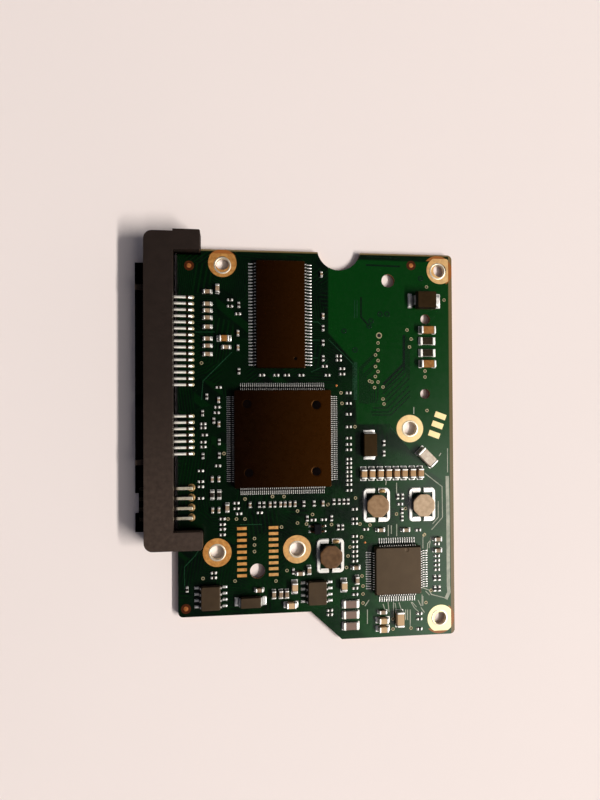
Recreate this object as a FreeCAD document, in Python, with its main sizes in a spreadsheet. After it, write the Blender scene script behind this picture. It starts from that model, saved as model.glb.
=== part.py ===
import FreeCAD, Part
import math
import os
import re

import Sketcher

# Controller circuit board of a 3.5 inch hard disk drive, component side up.
# The origin lies on the axis of the datum screw hole, on the underside of the board.
# +X runs from the drive connector to the far edge, +Y along the longer side, +Z out of the component side.

SIZES = {
    # Bare board
    "board_width": 57.8,
    "board_length": 80.6,
    "board_thickness": 1.0,
    "corner_radius": 1.0,
    "datum_x": 7.83,
    "datum_y": 18.8,
    "step_start": 27.0,
    "step_run": 6.45,
    "step_height": 6.0,
    "notch_radius": 4.6,
    "notch_rise": 0.87,
    # Screw holes, their lands and the other holes
    "screw_hole": 2.8,
    "upper_left_drop": 2.75,
    "upper_right_inset": 2.65,
    "upper_right_drop": 3.3,
    "lower_right_inset": 3.05,
    "lower_right_rise": 3.3,
    "land_diameter": 5.8,
    "land_margin": 0.8,
    "copper_height": 0.05,
    "clip_hole": 2.8,
    "slim_hole": 2.1,
    "stud_hole": 3.1,
    # Spring contact pads on the board
    "head_pad_length": 1.95,
    "head_pad_width": 0.6,
    "head_pad_pitch": 1.2,
    "motor_pad_length": 2.5,
    "motor_pad_width": 1.2,
    # Connector housing, measured from the left edge of the board and from the first power contact
    "first_contact_drop": 9.9,
    "wall_gap": 0.6,
    "wall_thickness": 1.6,
    "bar_depth": 5.6,
    "bar_head": 12.3,
    "bar_foot": 5.8,
    "bar_round": 1.7,
    "roof_height": 4.3,
    "roof_thickness": 0.8,
    "upper_ear_reach": 5.35,
    "upper_ear_width": 4.0,
    "ear_proud": 0.4,
    "lower_ear_reach": 5.7,
    "lower_ear_width": 3.6,
    "upper_ear_round": 0.3,
    "lower_ear_round": 0.7,
    "floor_reach": 7.9,
    "floor_drop": 0.3,
    "floor_thickness": 0.7,
    "floor_head": 7.0,
    "floor_foot": 2.8,
    "access_depth": 0.7,
    "access_width": 4.1,
    "tongue_reach": 5.8,
    "tongue_height": 0.45,
    "tongue_thickness": 1.2,
    "tongue_margin": 1.9,
    "key_width": 1.0,
    "key_height": 1.2,
    # Connector contacts
    "contact_pitch": 1.27,
    "contact_width": 0.6,
    "contact_thickness": 0.2,
    "contact_setback": 0.5,
    "segment_gap": 6.35,
    "tail_run": 1.6,
    "tail_heel": 2.0,
    "tail_toe": 2.95,
    "jumper_gap": 6.86,
    "jumper_pitch": 2.0,
    "jumper_width": 0.6,
    "jumper_height": 0.5,
    "jumper_reach": 6.8,
    "jumper_hole_x": 2.7,
    "jumper_hole": 0.95,
    "jumper_stub": 0.25,
    # Moulded packages
    "chip_standoff": 0.1,
    "lead_thickness": 0.15,
    "lead_shoulder": 0.3,
    "mould_draft": 0.15,
    "mould_corner": 0.25,
    "controller_width": 20.0,
    "controller_length": 20.0,
    "controller_height": 1.4,
    "controller_span": 22.0,
    "controller_pitch": 0.4,
    "controller_lead": 0.18,
    "controller_foot": 0.6,
    "memory_width": 10.16,
    "memory_length": 22.22,
    "memory_height": 1.0,
    "memory_span": 11.76,
    "memory_pitch": 0.65,
    "memory_lead": 0.3,
    "memory_foot": 0.4,
    "driver_width": 10.0,
    "driver_length": 10.0,
    "driver_height": 1.4,
    "driver_span": 12.0,
    "driver_pitch": 0.5,
    "driver_lead": 0.22,
    "driver_foot": 0.6,
    "outline_width": 3.9,
    "outline_length": 4.9,
    "outline_height": 1.45,
    "outline_span": 6.0,
    "outline_pitch": 1.27,
    "outline_lead": 0.42,
    "outline_foot": 0.6,
    "array_width": 1.5,
    "array_length": 2.1,
    "array_height": 0.85,
    "array_span": 3.2,
    "array_pitch": 1.1,
    "array_lead": 0.35,
    "array_foot": 0.3,
    "surge_width": 4.4,
    "surge_length": 3.8,
    "surge_height": 2.2,
    "surge_span": 6.6,
    "surge_lead": 2.1,
    "surge_foot": 0.7,
    "rectifier_width": 4.8,
    "rectifier_length": 2.9,
    "rectifier_height": 1.5,
    "rectifier_span": 6.1,
    "rectifier_lead": 2.35,
    "rectifier_foot": 0.45,
    "clamp_width": 4.2,
    "clamp_length": 2.2,
    "clamp_height": 1.4,
    "clamp_span": 5.9,
    "clamp_lead": 1.7,
    "clamp_foot": 0.5,
    # Drum inductors on their two frame halves
    "frame_width": 5.6,
    "frame_length": 6.9,
    "frame_bar": 0.95,
    "frame_split": 0.7,
    "frame_thickness": 0.3,
    "drum_diameter": 4.5,
    "drum_waist": 2.2,
    "drum_height": 1.3,
    "drum_flange": 0.4,
    "coil_diameter": 3.9,
    # Shock sensor
    "sensor_length": 4.2,
    "sensor_width": 2.2,
    "sensor_height": 1.6,
    "sensor_end": 0.5,
    # Chip resistors and capacitors, length by width by height, with the length of a metal end
    "capacitor_1206_length": 3.2,
    "capacitor_1206_width": 1.6,
    "capacitor_1206_height": 1.3,
    "capacitor_1206_end": 0.5,
    "capacitor_0805_length": 2.0,
    "capacitor_0805_width": 1.25,
    "capacitor_0805_height": 1.2,
    "capacitor_0805_end": 0.4,
    "capacitor_0603_length": 1.6,
    "capacitor_0603_width": 0.8,
    "capacitor_0603_height": 0.8,
    "capacitor_0603_end": 0.35,
    "capacitor_0402_length": 1.0,
    "capacitor_0402_width": 0.5,
    "capacitor_0402_height": 0.5,
    "capacitor_0402_end": 0.25,
    "resistor_1206_length": 3.2,
    "resistor_1206_width": 1.6,
    "resistor_1206_height": 0.6,
    "resistor_1206_end": 0.5,
    "resistor_0603_length": 1.6,
    "resistor_0603_width": 0.8,
    "resistor_0603_height": 0.45,
    "resistor_0603_end": 0.35,
    "resistor_0402_length": 1.0,
    "resistor_0402_width": 0.5,
    "resistor_0402_height": 0.35,
    "resistor_0402_end": 0.25,
}

POWER_CONTACTS = 15
SIGNAL_CONTACTS = 7
JUMPER_PINS = 4
HEAD_PAD_ROWS = 9

# Leads on one side of each package
CONTROLLER_LEADS = 44
MEMORY_LEADS = 33
DRIVER_LEADS = 16
OUTLINE_LEADS = 4
ARRAY_LEADS = 2
DIODE_LEADS = 1

# Stations along the connector, from the first power contact downwards
POWER_END = f"(-{POWER_CONTACTS - 1} * contact_pitch)"
SIGNAL_START = f"({POWER_END} - segment_gap)"
SIGNAL_END = f"({SIGNAL_START} - {SIGNAL_CONTACTS - 1} * contact_pitch)"
JUMPER_START = f"({SIGNAL_END} - jumper_gap)"
JUMPER_END = f"({JUMPER_START} - {JUMPER_PINS - 1} * jumper_pitch)"
BAR_END = f"({JUMPER_END} - bar_foot)"
FLOOR_END = f"({JUMPER_END} - floor_foot)"
FIRST_CONTACT = "(board_length - first_contact_drop - datum_y)"
BOARD_LEFT = "(-datum_x)"

# Places on the board are written in thousandths of its width and of its length, from its lower left corner.
NOTCH_CENTRE = 576
CLIP_HOLE = (758, 929)
SLIM_HOLES = [(898, 829), (895, 632)]
STUD_HOLE = (277, 183)
HEAD_PAD_COLUMNS = (222, 334)
HEAD_PAD_TOP = 292
MOTOR_PADS = [(952, 574), (941, 550), (928, 525)]
MOTOR_PAD_TURN = -20
SENSOR_PLACE = (896, 466)
SENSOR_TURN = -45
INDUCTORS = [(709, 343), (879, 342), (538, 216)]
UPPER_LEFT_SCREW = 157
MIDDLE_SCREWS = [(836, 541), (418, 235)]

doc = FreeCAD.newDocument("hard_drive_board")


def fill_sheet():
    """Writes the driving dimensions into the spreadsheet, one named cell each."""
    sheet = doc.addObject("Spreadsheet::Sheet", "Sizes")
    for row, (alias, value) in enumerate(SIZES.items(), start=1):
        sheet.set(f"A{row}", alias)
        sheet.set(f"B{row}", str(value))
        sheet.setAlias(f"B{row}", alias)
    doc.recompute()


def bound(text):
    """Turns the plain size names in a formula into references to the spreadsheet's cells."""
    def cell(word):
        return f"Sizes.{word[0]}" if word[0] in SIZES else word[0]
    return re.sub(r"[a-z][a-z0-9_]*", cell, text)


def across(share):
    """Formula of a place across the board, given in thousandths of its width."""
    return f"(board_width * {share} / 1000 - datum_x)"


def along(share):
    """Formula of a place along the board, given in thousandths of its length."""
    return f"(board_length * {share} / 1000 - datum_y)"


def place(thing, x="0", y="0", z="0", turn=0):
    """Ties an object's position to formulas and turns it about the vertical."""
    upright = FreeCAD.Vector(0, 0, 1)
    thing.Placement = FreeCAD.Placement(FreeCAD.Vector(), FreeCAD.Rotation(upright, turn))
    for axis, text in zip("xyz", (x, y, z)):
        thing.setExpression(f"Placement.Base.{axis}", bound(text))


def block(name, centre, z, size, turn=0):
    """A rectangular block centred on a point of the plan, standing on level z."""
    length, width, height = size
    solid = doc.addObject("Part::Box", name)
    for side, text in zip(("Length", "Width", "Height"), size):
        solid.setExpression(side, bound(text))
    cosine = round(math.cos(math.radians(turn)), 6)
    sine = round(math.sin(math.radians(turn)), 6)
    x = f"{centre[0]} - ({length}) / 2 * {cosine} + ({width}) / 2 * {sine}"
    y = f"{centre[1]} - ({length}) / 2 * {sine} - ({width}) / 2 * {cosine}"
    place(solid, x, y, z, turn)
    return solid


def copy_of(source, name, x, y, z, turn=0):
    """A further copy of an object at another place."""
    copy = doc.addObject("App::Link", name)
    copy.LinkedObject = source
    place(copy, x, y, z, turn)
    return copy


def group(name, members):
    """A sub-part that is a set of separate solids."""
    joined = doc.addObject("Part::Compound", name)
    joined.Links = members
    return joined


def new_body(name):
    """An empty body that may hold several solids."""
    body = doc.addObject("PartDesign::Body", name)
    body.AllowCompound = True
    return body


def origin_of(body, role):
    """One of a body's own origin planes or axes."""
    return next(item for item in body.Origin.OriginFeatures if item.Role == role)


def sketch_on(body, name, height="0", plane="XY_Plane"):
    """A sketch on an origin plane of its body, shifted along that plane's normal."""
    sketch = body.newObject("Sketcher::SketchObject", name)
    sketch.AttachmentSupport = [(origin_of(body, plane), "")]
    sketch.MapMode = "FlatFace"
    sketch.setExpression("AttachmentOffset.Base.z", bound(height))
    return sketch


def pin_point(sketch, element, point, x, y):
    """Fixes one point of a sketch by its two distances from the sketch's origin."""
    for kind, text in (("DistanceX", x), ("DistanceY", y)):
        value = sketch.evalExpression(bound(text))
        number = sketch.addConstraint(Sketcher.Constraint(kind, -1, 1, element, point, value))
        sketch.setExpression(f"Constraints[{number}]", bound(text))


def polygon(sketch, corners):
    """Draws a closed outline of straight edges through corners given as formulas."""
    points = []
    for x, y in corners:
        points.append(FreeCAD.Vector(sketch.evalExpression(bound(x)), sketch.evalExpression(bound(y)), 0))
    first = sketch.GeometryCount
    for start, end in zip(points, points[1:] + points[:1]):
        sketch.addGeometry(Part.LineSegment(start, end))
    for number in range(len(points)):
        follower = first + (number + 1) % len(points)
        sketch.addConstraint(Sketcher.Constraint("Coincident", first + number, 2, follower, 1))
    for number, (x, y) in enumerate(corners):
        pin_point(sketch, first + number, 1, x, y)


def rectangle(sketch, left, low, right, high):
    """Draws a closed rectangle between two corners given as formulas."""
    polygon(sketch, [(left, low), (right, low), (right, high), (left, high)])


def circle(sketch, x, y, diameter):
    """Draws a circle whose centre and diameter are formulas."""
    centre = FreeCAD.Vector(sketch.evalExpression(bound(x)), sketch.evalExpression(bound(y)), 0)
    radius = sketch.evalExpression(bound(diameter)) / 2
    element = sketch.addGeometry(Part.Circle(centre, FreeCAD.Vector(0, 0, 1), radius))
    pin_point(sketch, element, 3, x, y)
    number = sketch.addConstraint(Sketcher.Constraint("Diameter", element, 2 * radius))
    sketch.setExpression(f"Constraints[{number}]", bound(diameter))


def pad(body, sketch, length, midplane=False):
    """Thickens a sketch into a solid."""
    feature = body.newObject("PartDesign::Pad", f"{sketch.Name}_pad")
    feature.Profile = sketch
    feature.Midplane = midplane
    feature.setExpression("Length", bound(length))
    return feature


def cut_through(body, sketch):
    """Cuts a sketch right through its body, both ways."""
    feature = body.newObject("PartDesign::Pocket", f"{sketch.Name}_cut")
    feature.Profile = sketch
    feature.Type = "ThroughAll"
    feature.Midplane = True
    return feature


def round_upright_edges(body, corners, radius):
    """Rounds the vertical edges that stand over the given corners of the plan."""
    doc.recompute()
    base = body.Tip
    names = []
    for number, edge in enumerate(base.Shape.Edges, start=1):
        ends = [vertex.Point for vertex in edge.Vertexes]
        if len(ends) != 2 or (ends[0] - ends[1]).cross(FreeCAD.Vector(0, 0, 1)).Length > 1e-6:
            continue
        for x, y in corners:
            plan = FreeCAD.Vector(base.evalExpression(bound(x)), base.evalExpression(bound(y)), ends[0].z)
            if plan.distanceToPoint(ends[0]) < 1e-4:
                names.append(f"Edge{number}")
    feature = body.newObject("PartDesign::Fillet", f"{body.Name}_rounds_{len(body.Group)}")
    feature.Base = (base, names)
    feature.setExpression("Radius", bound(radius))


def board_corner(x, y):
    """A corner of the outline, measured from the lower left corner of the board."""
    return f"{x} - datum_x", f"{y} - datum_y"


def screw_places():
    """Centres of the six screw holes: the datum hole, three set from the edges and two within the board."""
    places = [
        ("0", "0"),
        (across(UPPER_LEFT_SCREW), "board_length - upper_left_drop - datum_y"),
        ("board_width - upper_right_inset - datum_x", "board_length - upper_right_drop - datum_y"),
        ("board_width - lower_right_inset - datum_x", "lower_right_rise - datum_y"),
    ]
    for x, y in MIDDLE_SCREWS:
        places.append((across(x), along(y)))
    return places


def make_board():
    """The laminate: stepped outline, round notch in the top edge and all its holes."""
    body = new_body("bare_board")
    outline = sketch_on(body, "outline")
    polygon(outline, [
        board_corner("0", "step_height"),
        board_corner("step_start", "step_height"),
        board_corner("step_start + step_run", "0"),
        board_corner("board_width", "0"),
        board_corner("board_width", "board_length"),
        board_corner("0", "board_length"),
    ])
    pad(body, outline, "board_thickness")
    round_upright_edges(body, [
        board_corner("0", "step_height"),
        board_corner("board_width", "0"),
        board_corner("board_width", "board_length"),
        board_corner("0", "board_length"),
    ], "corner_radius")
    holes = sketch_on(body, "holes")
    for x, y in screw_places():
        circle(holes, x, y, "screw_hole")
    circle(holes, across(CLIP_HOLE[0]), along(CLIP_HOLE[1]), "clip_hole")
    for x, y in SLIM_HOLES:
        circle(holes, across(x), along(y), "slim_hole")
    circle(holes, across(STUD_HOLE[0]), along(STUD_HOLE[1]), "stud_hole")
    circle(holes, across(NOTCH_CENTRE), "board_length + notch_rise - datum_y", "2 * notch_radius")
    for number in range(JUMPER_PINS):
        station = f"{FIRST_CONTACT} + {JUMPER_START} - {number} * jumper_pitch"
        circle(holes, f"{BOARD_LEFT} + jumper_hole_x", station, "jumper_hole")
    cut_through(body, holes)


def make_lands():
    """Gold rings round the screw holes, trimmed where they would reach the edge of the board."""
    rings = new_body("land_rings")
    outline = sketch_on(rings, "land_circles", "board_thickness")
    for x, y in screw_places():
        circle(outline, x, y, "land_diameter")
        circle(outline, x, y, "screw_hole")
    pad(rings, outline, "copper_height")
    middle = ("board_width / 2 - datum_x", "board_length / 2 - datum_y")
    extent = ("board_width - 2 * land_margin", "board_length - 2 * land_margin", "copper_height")
    window = block("land_window", middle, "board_thickness", extent)
    lands = doc.addObject("Part::Common", "screw_lands")
    lands.Base = rings
    lands.Tool = window


def make_contact_pads():
    """Bare gold pads for the spring contacts of the head stack and of the spindle motor."""
    head = []
    head_size = ("head_pad_length", "head_pad_width", "copper_height")
    for column, share in enumerate(HEAD_PAD_COLUMNS):
        for row in range(HEAD_PAD_ROWS):
            centre = (across(share), f"{along(HEAD_PAD_TOP)} - {row} * head_pad_pitch")
            head.append(block(f"head_pad_{column}_{row}", centre, "board_thickness", head_size))
    group("head_contact_pads", head)
    motor = []
    motor_size = ("motor_pad_length", "motor_pad_width", "copper_height")
    for number, (x, y) in enumerate(MOTOR_PADS):
        centre = (across(x), along(y))
        motor.append(block(f"motor_pad_{number}", centre, "board_thickness", motor_size, MOTOR_PAD_TURN))
    group("motor_contact_pads", motor)


def strip_row(name, profile, width, count, pitch):
    """A row of equal flat strips, centred along Y, each one a profile in X and Z given a width."""
    body = new_body(name)
    outline = sketch_on(body, f"{name}_profile", f"{count - 1} * {pitch} / 2", "XZ_Plane")
    polygon(outline, profile)
    strip = pad(body, outline, width, midplane=True)
    if count > 1:
        doc.recompute()
        row = body.newObject("PartDesign::LinearPattern", f"{name}_row")
        row.Originals = [strip]
        row.Direction = (origin_of(body, "Y_Axis"), [""])
        row.setExpression("Length", bound(f"{count - 1} * {pitch}"))
        row.Occurrences = count
        body.Tip = row
    return body


def gull_wing(inner, low, shoulder, heel, toe, thickness):
    """Profile of a formed strip: level run, slope down and flat foot on the board."""
    lean = f"{thickness} / 2"
    return [
        (inner, low),
        (shoulder, low),
        (heel, "0"),
        (toe, "0"),
        (toe, thickness),
        (f"{heel} + {lean}", thickness),
        (f"{shoulder} + {lean}", f"{low} + {thickness}"),
        (inner, f"{low} + {thickness}"),
    ]


def make_contacts():
    """Power and signal contacts that lie in the tongue's underside, and the jumper pins."""
    front = "-(wall_gap + wall_thickness + tongue_reach - contact_setback)"
    profile = gull_wing(front, "tongue_height", "tail_run", "tail_heel", "tail_toe", "contact_thickness")
    rows = (
        ("power_contacts", POWER_CONTACTS, "0", POWER_END),
        ("signal_contacts", SIGNAL_CONTACTS, SIGNAL_START, SIGNAL_END),
    )
    made = []
    for name, count, start, end in rows:
        row = strip_row(name, profile, "contact_width", count, "contact_pitch")
        place(row, BOARD_LEFT, f"{FIRST_CONTACT} + ({start} + {end}) / 2", "board_thickness")
        made.append(row)
    tip = "-(wall_gap + jumper_reach)"
    bottom = "-(board_thickness + jumper_stub)"
    near = "jumper_hole_x - jumper_width / 2"
    far = "jumper_hole_x + jumper_width / 2"
    bend = [
        (tip, "jumper_height"),
        (near, "jumper_height"),
        (near, bottom),
        (far, bottom),
        (far, "jumper_height + jumper_width"),
        (tip, "jumper_height + jumper_width"),
    ]
    pins = strip_row("jumper_pins", bend, "jumper_width", JUMPER_PINS, "jumper_pitch")
    place(pins, BOARD_LEFT, f"{FIRST_CONTACT} + ({JUMPER_START} + {JUMPER_END}) / 2", "board_thickness")
    made.append(pins)
    return made


def make_housing(contacts):
    """Moulded connector housing: back wall, roof with two ears on the board, floor, end blocks and tongues."""
    body = new_body("housing_blank")
    back = "-wall_gap"
    wall_front = "-(wall_gap + wall_thickness)"
    roof_front = "-(wall_gap + bar_depth)"
    floor_front = "-(wall_gap + floor_reach)"
    base = "-(board_thickness + floor_drop)"
    full_height = "roof_height + board_thickness + floor_drop"
    upper_tip = "upper_ear_reach - wall_gap"
    lower_tip = "lower_ear_reach - wall_gap"
    ear_top = "bar_head + ear_proud"
    ear_low = f"{ear_top} - upper_ear_width"
    lower_top = f"{BAR_END} + lower_ear_width"

    wall = sketch_on(body, "back_wall", base)
    rectangle(wall, wall_front, BAR_END, back, "bar_head")
    pad(body, wall, full_height)
    roof = sketch_on(body, "roof", "roof_height - roof_thickness")
    rectangle(roof, roof_front, BAR_END, back, "bar_head")
    pad(body, roof, "roof_thickness")
    ends = sketch_on(body, "end_blocks", base)
    rectangle(ends, roof_front, "floor_head", back, "bar_head")
    rectangle(ends, roof_front, BAR_END, back, FLOOR_END)
    pad(body, ends, full_height)
    ears = sketch_on(body, "ears")
    rectangle(ears, back, ear_low, upper_tip, ear_top)
    rectangle(ears, back, BAR_END, lower_tip, lower_top)
    pad(body, ears, "roof_height")
    access_top = f"({JUMPER_START} + {JUMPER_END}) / 2 + access_width / 2"
    access_low = f"({JUMPER_START} + {JUMPER_END}) / 2 - access_width / 2"
    floor = sketch_on(body, "floor", base)
    polygon(floor, [
        (wall_front, FLOOR_END),
        (wall_front, "floor_head"),
        (floor_front, "floor_head"),
        (floor_front, access_top),
        (f"{floor_front} + access_depth", access_top),
        (f"{floor_front} + access_depth", access_low),
        (floor_front, access_low),
        (floor_front, FLOOR_END),
    ])
    pad(body, floor, "floor_thickness")
    tongue_front = f"{wall_front} - tongue_reach"
    tongue = sketch_on(body, "tongues", "tongue_height")
    rectangle(tongue, tongue_front, f"{POWER_END} - tongue_margin", wall_front, "tongue_margin")
    rectangle(tongue, tongue_front, f"{SIGNAL_END} - tongue_margin", wall_front, f"{SIGNAL_START} + tongue_margin")
    pad(body, tongue, "tongue_thickness")
    keys = sketch_on(body, "keys", "tongue_height + tongue_thickness")
    rectangle(keys, tongue_front, "tongue_margin - key_width", wall_front, "tongue_margin")
    key_low = f"{SIGNAL_END} - tongue_margin"
    rectangle(keys, tongue_front, key_low, wall_front, f"{key_low} + key_width")
    pad(body, keys, "key_height")
    round_upright_edges(body, [(roof_front, "bar_head"), (roof_front, BAR_END)], "bar_round")
    round_upright_edges(body, [(upper_tip, ear_low), (upper_tip, ear_top)], "upper_ear_round")
    round_upright_edges(body, [(lower_tip, BAR_END), (lower_tip, lower_top)], "lower_ear_round")
    place(body, BOARD_LEFT, FIRST_CONTACT, "board_thickness")
    housing = doc.addObject("Part::Cut", "connector_housing")
    housing.Base = body
    housing.Tool = group("contact_channels", contacts)


def moulded_body(name, kind, centre, turn):
    """Moulded package body: drafted halves that meet in a narrow upright band where the leads come out."""
    body = new_body(name)
    band = f"(chip_standoff + {kind}_height / 2 - lead_thickness / 2)"
    levels = (
        ("chip_standoff", "mould_draft"),
        (band, "0"),
        (f"{band} + lead_thickness", "0"),
        (f"chip_standoff + {kind}_height", "mould_draft"),
    )
    sections = []
    for number, (height, inset) in enumerate(levels):
        section = sketch_on(body, f"{name}_section_{number}", height)
        wide = f"({kind}_width / 2 - {inset})"
        long = f"({kind}_length / 2 - {inset})"
        polygon(section, [
            (wide, f"mould_corner - {long}"),
            (wide, f"{long} - mould_corner"),
            (f"{wide} - mould_corner", long),
            (f"mould_corner - {wide}", long),
            (f"-{wide}", f"{long} - mould_corner"),
            (f"-{wide}", f"mould_corner - {long}"),
            (f"mould_corner - {wide}", f"-{long}"),
            (f"{wide} - mould_corner", f"-{long}"),
        ])
        sections.append(section)
    loft = body.newObject("PartDesign::AdditiveLoft", f"{name}_loft")
    loft.Profile = sections[0]
    loft.Sections = sections[1:]
    loft.Ruled = True
    place(body, centre[0], centre[1], "board_thickness", turn)


def make_package(name, kind, centre, count, sides, turn=0):
    """A leaded package: its moulded body and its formed leads on two or four sides."""
    centre = (across(centre[0]), along(centre[1]))
    moulded_body(f"{name}_body", kind, centre, turn)
    band = f"(chip_standoff + {kind}_height / 2 - lead_thickness / 2)"
    inner = f"{kind}_width / 2"
    toe = f"{kind}_span / 2"
    heel = f"{toe} - {kind}_foot"
    profile = gull_wing(inner, band, f"{inner} + lead_shoulder", heel, toe, "lead_thickness")
    pitch = f"{kind}_pitch" if count > 1 else "0"
    row = strip_row(f"{name}_lead_row", profile, f"{kind}_lead", count, pitch)
    rows = []
    for side in range(sides):
        angle = turn + 360 / sides * side
        rows.append(copy_of(row, f"{name}_side_{side}", centre[0], centre[1], "board_thickness", angle))
    group(f"{name}_leads", rows)


def make_inductors():
    """Three drum inductors: ferrite drum, wire winding round its waist and two frame halves as terminals."""
    drum = new_body("drum")
    outline = sketch_on(drum, "drum_profile", "0", "XZ_Plane")
    edge = "drum_diameter / 2"
    waist = "drum_waist / 2"
    polygon(outline, [
        ("0", "0"),
        (edge, "0"),
        (edge, "drum_flange"),
        (waist, "drum_flange"),
        (waist, "drum_height - drum_flange"),
        (edge, "drum_height - drum_flange"),
        (edge, "drum_height"),
        ("0", "drum_height"),
    ])
    turned = drum.newObject("PartDesign::Revolution", "drum_turned")
    turned.Profile = outline
    turned.ReferenceAxis = (outline, ["V_Axis"])
    turned.Angle = 360
    coil = new_body("coil")
    ring = sketch_on(coil, "coil_ring", "drum_flange")
    circle(ring, "0", "0", "coil_diameter")
    circle(ring, "0", "0", "drum_waist")
    pad(coil, ring, "drum_height - 2 * drum_flange")
    half = new_body("frame_half")
    bracket = sketch_on(half, "frame_bracket")
    polygon(bracket, [
        ("frame_split / 2", "-frame_length / 2"),
        ("frame_width / 2", "-frame_length / 2"),
        ("frame_width / 2", "frame_length / 2"),
        ("frame_split / 2", "frame_length / 2"),
        ("frame_split / 2", "frame_length / 2 - frame_bar"),
        ("frame_width / 2 - frame_bar", "frame_length / 2 - frame_bar"),
        ("frame_width / 2 - frame_bar", "frame_bar - frame_length / 2"),
        ("frame_split / 2", "frame_bar - frame_length / 2"),
    ])
    pad(half, bracket, "frame_thickness")
    round_upright_edges(half, [("frame_width / 2", "-frame_length / 2"), ("frame_width / 2", "frame_length / 2")],
                        "frame_bar * 0.8")
    seat = "board_thickness + frame_thickness"
    drums, coils, halves = [], [], []
    for number, (x, y) in enumerate(INDUCTORS):
        here = (across(x), along(y))
        drums.append(copy_of(drum, f"drum_{number}", *here, seat))
        coils.append(copy_of(coil, f"coil_{number}", *here, seat))
        for side in (0, 180):
            halves.append(copy_of(half, f"frame_{number}_{side}", *here, "board_thickness", side))
    group("inductor_drums", drums)
    group("inductor_coils", coils)
    group("inductor_frames", halves)


def chip_blocks(name, kind, centre, turn):
    """One two-ended chip: the block between its metal ends, and the two ends."""
    body_length = f"{kind}_length - 2 * {kind}_end"
    body = block(f"{name}_middle", centre, "board_thickness", (body_length, f"{kind}_width", f"{kind}_height"), turn)
    ends = []
    offset = f"({kind}_length - {kind}_end) / 2"
    cosine = round(math.cos(math.radians(turn)), 6)
    sine = round(math.sin(math.radians(turn)), 6)
    for side, sign in (("first", "-"), ("second", "+")):
        at = (f"{centre[0]} {sign} {offset} * {cosine}", f"{centre[1]} {sign} {offset} * {sine}")
        size = (f"{kind}_end", f"{kind}_width", f"{kind}_height")
        ends.append(block(f"{name}_{side}_end", at, "board_thickness", size, turn))
    return body, ends


def make_chips(kind, lying, standing):
    """All chips of one size: bodies in one sub-part, metal ends in another."""
    bodies, ends = [], []
    turned = [(spot, 0) for spot in lying] + [(spot, 90) for spot in standing]
    for number, ((x, y), turn) in enumerate(turned):
        body, pair = chip_blocks(f"{kind}_{number}", kind, (across(x), along(y)), turn)
        bodies.append(body)
        ends.extend(pair)
    group(f"{kind}_bodies", bodies)
    group(f"{kind}_ends", ends)


def column(x, *places):
    """Places one below the other at the same distance from the left edge."""
    return [(x, y) for y in places]


def line(y, *places):
    """Places side by side at the same distance from the lower edge."""
    return [(x, y) for x in places]


def make_passives():
    """Chip capacitors and resistors, by size, lying along X or standing along Y."""
    make_chips("capacitor_1206", column(903, 800, 711), [(791, 47)])
    make_chips("resistor_1206", column(903, 771, 740) + column(611, 90, 63, 34), [])
    make_chips(
        "capacitor_0805",
        [(162, 774), (395, 95)] + column(729, 45, 23),
        line(425, 661, 691, 722, 752, 782, 811, 842, 872) + [(408, 140), (586, 139)],
    )
    make_chips(
        "capacitor_0603",
        column(104, 892, 861, 844, 826, 803, 773, 755, 734) + column(936, 250, 221)
        + [(169, 752), (722, 279), (816, 277), (630, 184), (282, 136), (428, 174), (728, 66)],
        line(123, 334, 359, 380) + [(139, 900), (171, 346), (635, 151), (460, 181)],
    )
    make_chips("resistor_0603", [], line(379, 119, 143))
    make_chips(
        "capacitor_0402",
        [],
        column(211, 788, 751) + line(418, 119, 142) + line(340, 120, 142) + [(142, 618), (143, 557)]
        + [(511, 942), (516, 834)] + line(351, 251, 322, 359, 375, 393, 411, 512),
    )
    make_chips(
        "resistor_0402",
        column(608, 635, 608, 580, 547, 518, 502, 488, 464, 453, 442, 431, 420, 409, 398, 383)
        + column(628, 334, 309, 297, 264, 250, 237, 225, 213, 200, 130, 114)
        + column(934, 237, 206, 194, 182, 170)
        + column(88, 558, 548, 512, 500) + column(79, 440, 413, 400, 371) + column(154, 318, 304, 292, 278)
        + column(183, 872, 856) + column(123, 183, 171) + column(573, 731, 720) + column(585, 698, 684)
        + column(535, 76, 65) + column(866, 57, 43, 17) + column(203, 357, 343)
        + line(681, 295, 346, 384, 436, 531) + line(309, 477, 515)
        + [(211, 837), (142, 650), (137, 600), (135, 586), (93, 530), (139, 452), (212, 330)]
        + [(521, 704), (285, 331), (797, 344), (669, 281), (864, 275)],
        column(516, 803, 765, 725) + column(738, 504, 477) + column(144, 512, 478) + column(804, 326, 307)
        + line(354, 552, 571, 588, 604) + line(288, 567, 583) + line(364, 788, 806)
        + line(148, 925, 942) + line(120, 925, 942) + line(351, 284, 300, 339, 443, 480)
        + [(214, 860), (214, 691), (101, 627), (86, 585), (125, 566), (87, 477), (31, 144)]
        + [(455, 313), (543, 312), (404, 179)],
    )


def make_sensor():
    """Shock sensor set across the corner: ceramic block with a metal cap at each end."""
    centre = (across(SENSOR_PLACE[0]), along(SENSOR_PLACE[1]))
    body, ends = chip_blocks("sensor", "sensor", centre, SENSOR_TURN)
    body.Label = "shock_sensor_body"
    group("shock_sensor_ends", ends)


def export_all(nodes):
    """Checks the whole document, then writes one file for each sub-part."""
    doc.recompute()
    for item in doc.Objects:
        if "Invalid" in item.State or "Error" in item.State:
            raise RuntimeError(f"{item.Label} failed: {item.State}")
    for node in nodes:
        shape = node.Shape
        if shape.isNull() or not shape.isValid() or not shape.Solids:
            raise RuntimeError(f"{node.Label} has no valid solid")
    os.makedirs("parts", exist_ok=True)
    for node in nodes:
        node.Shape.exportStep(f"parts/{node.Label}.step")
        print(f"{node.Label}: {len(node.Shape.Solids)} solids, {node.Shape.Volume:.2f} mm3")


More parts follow.
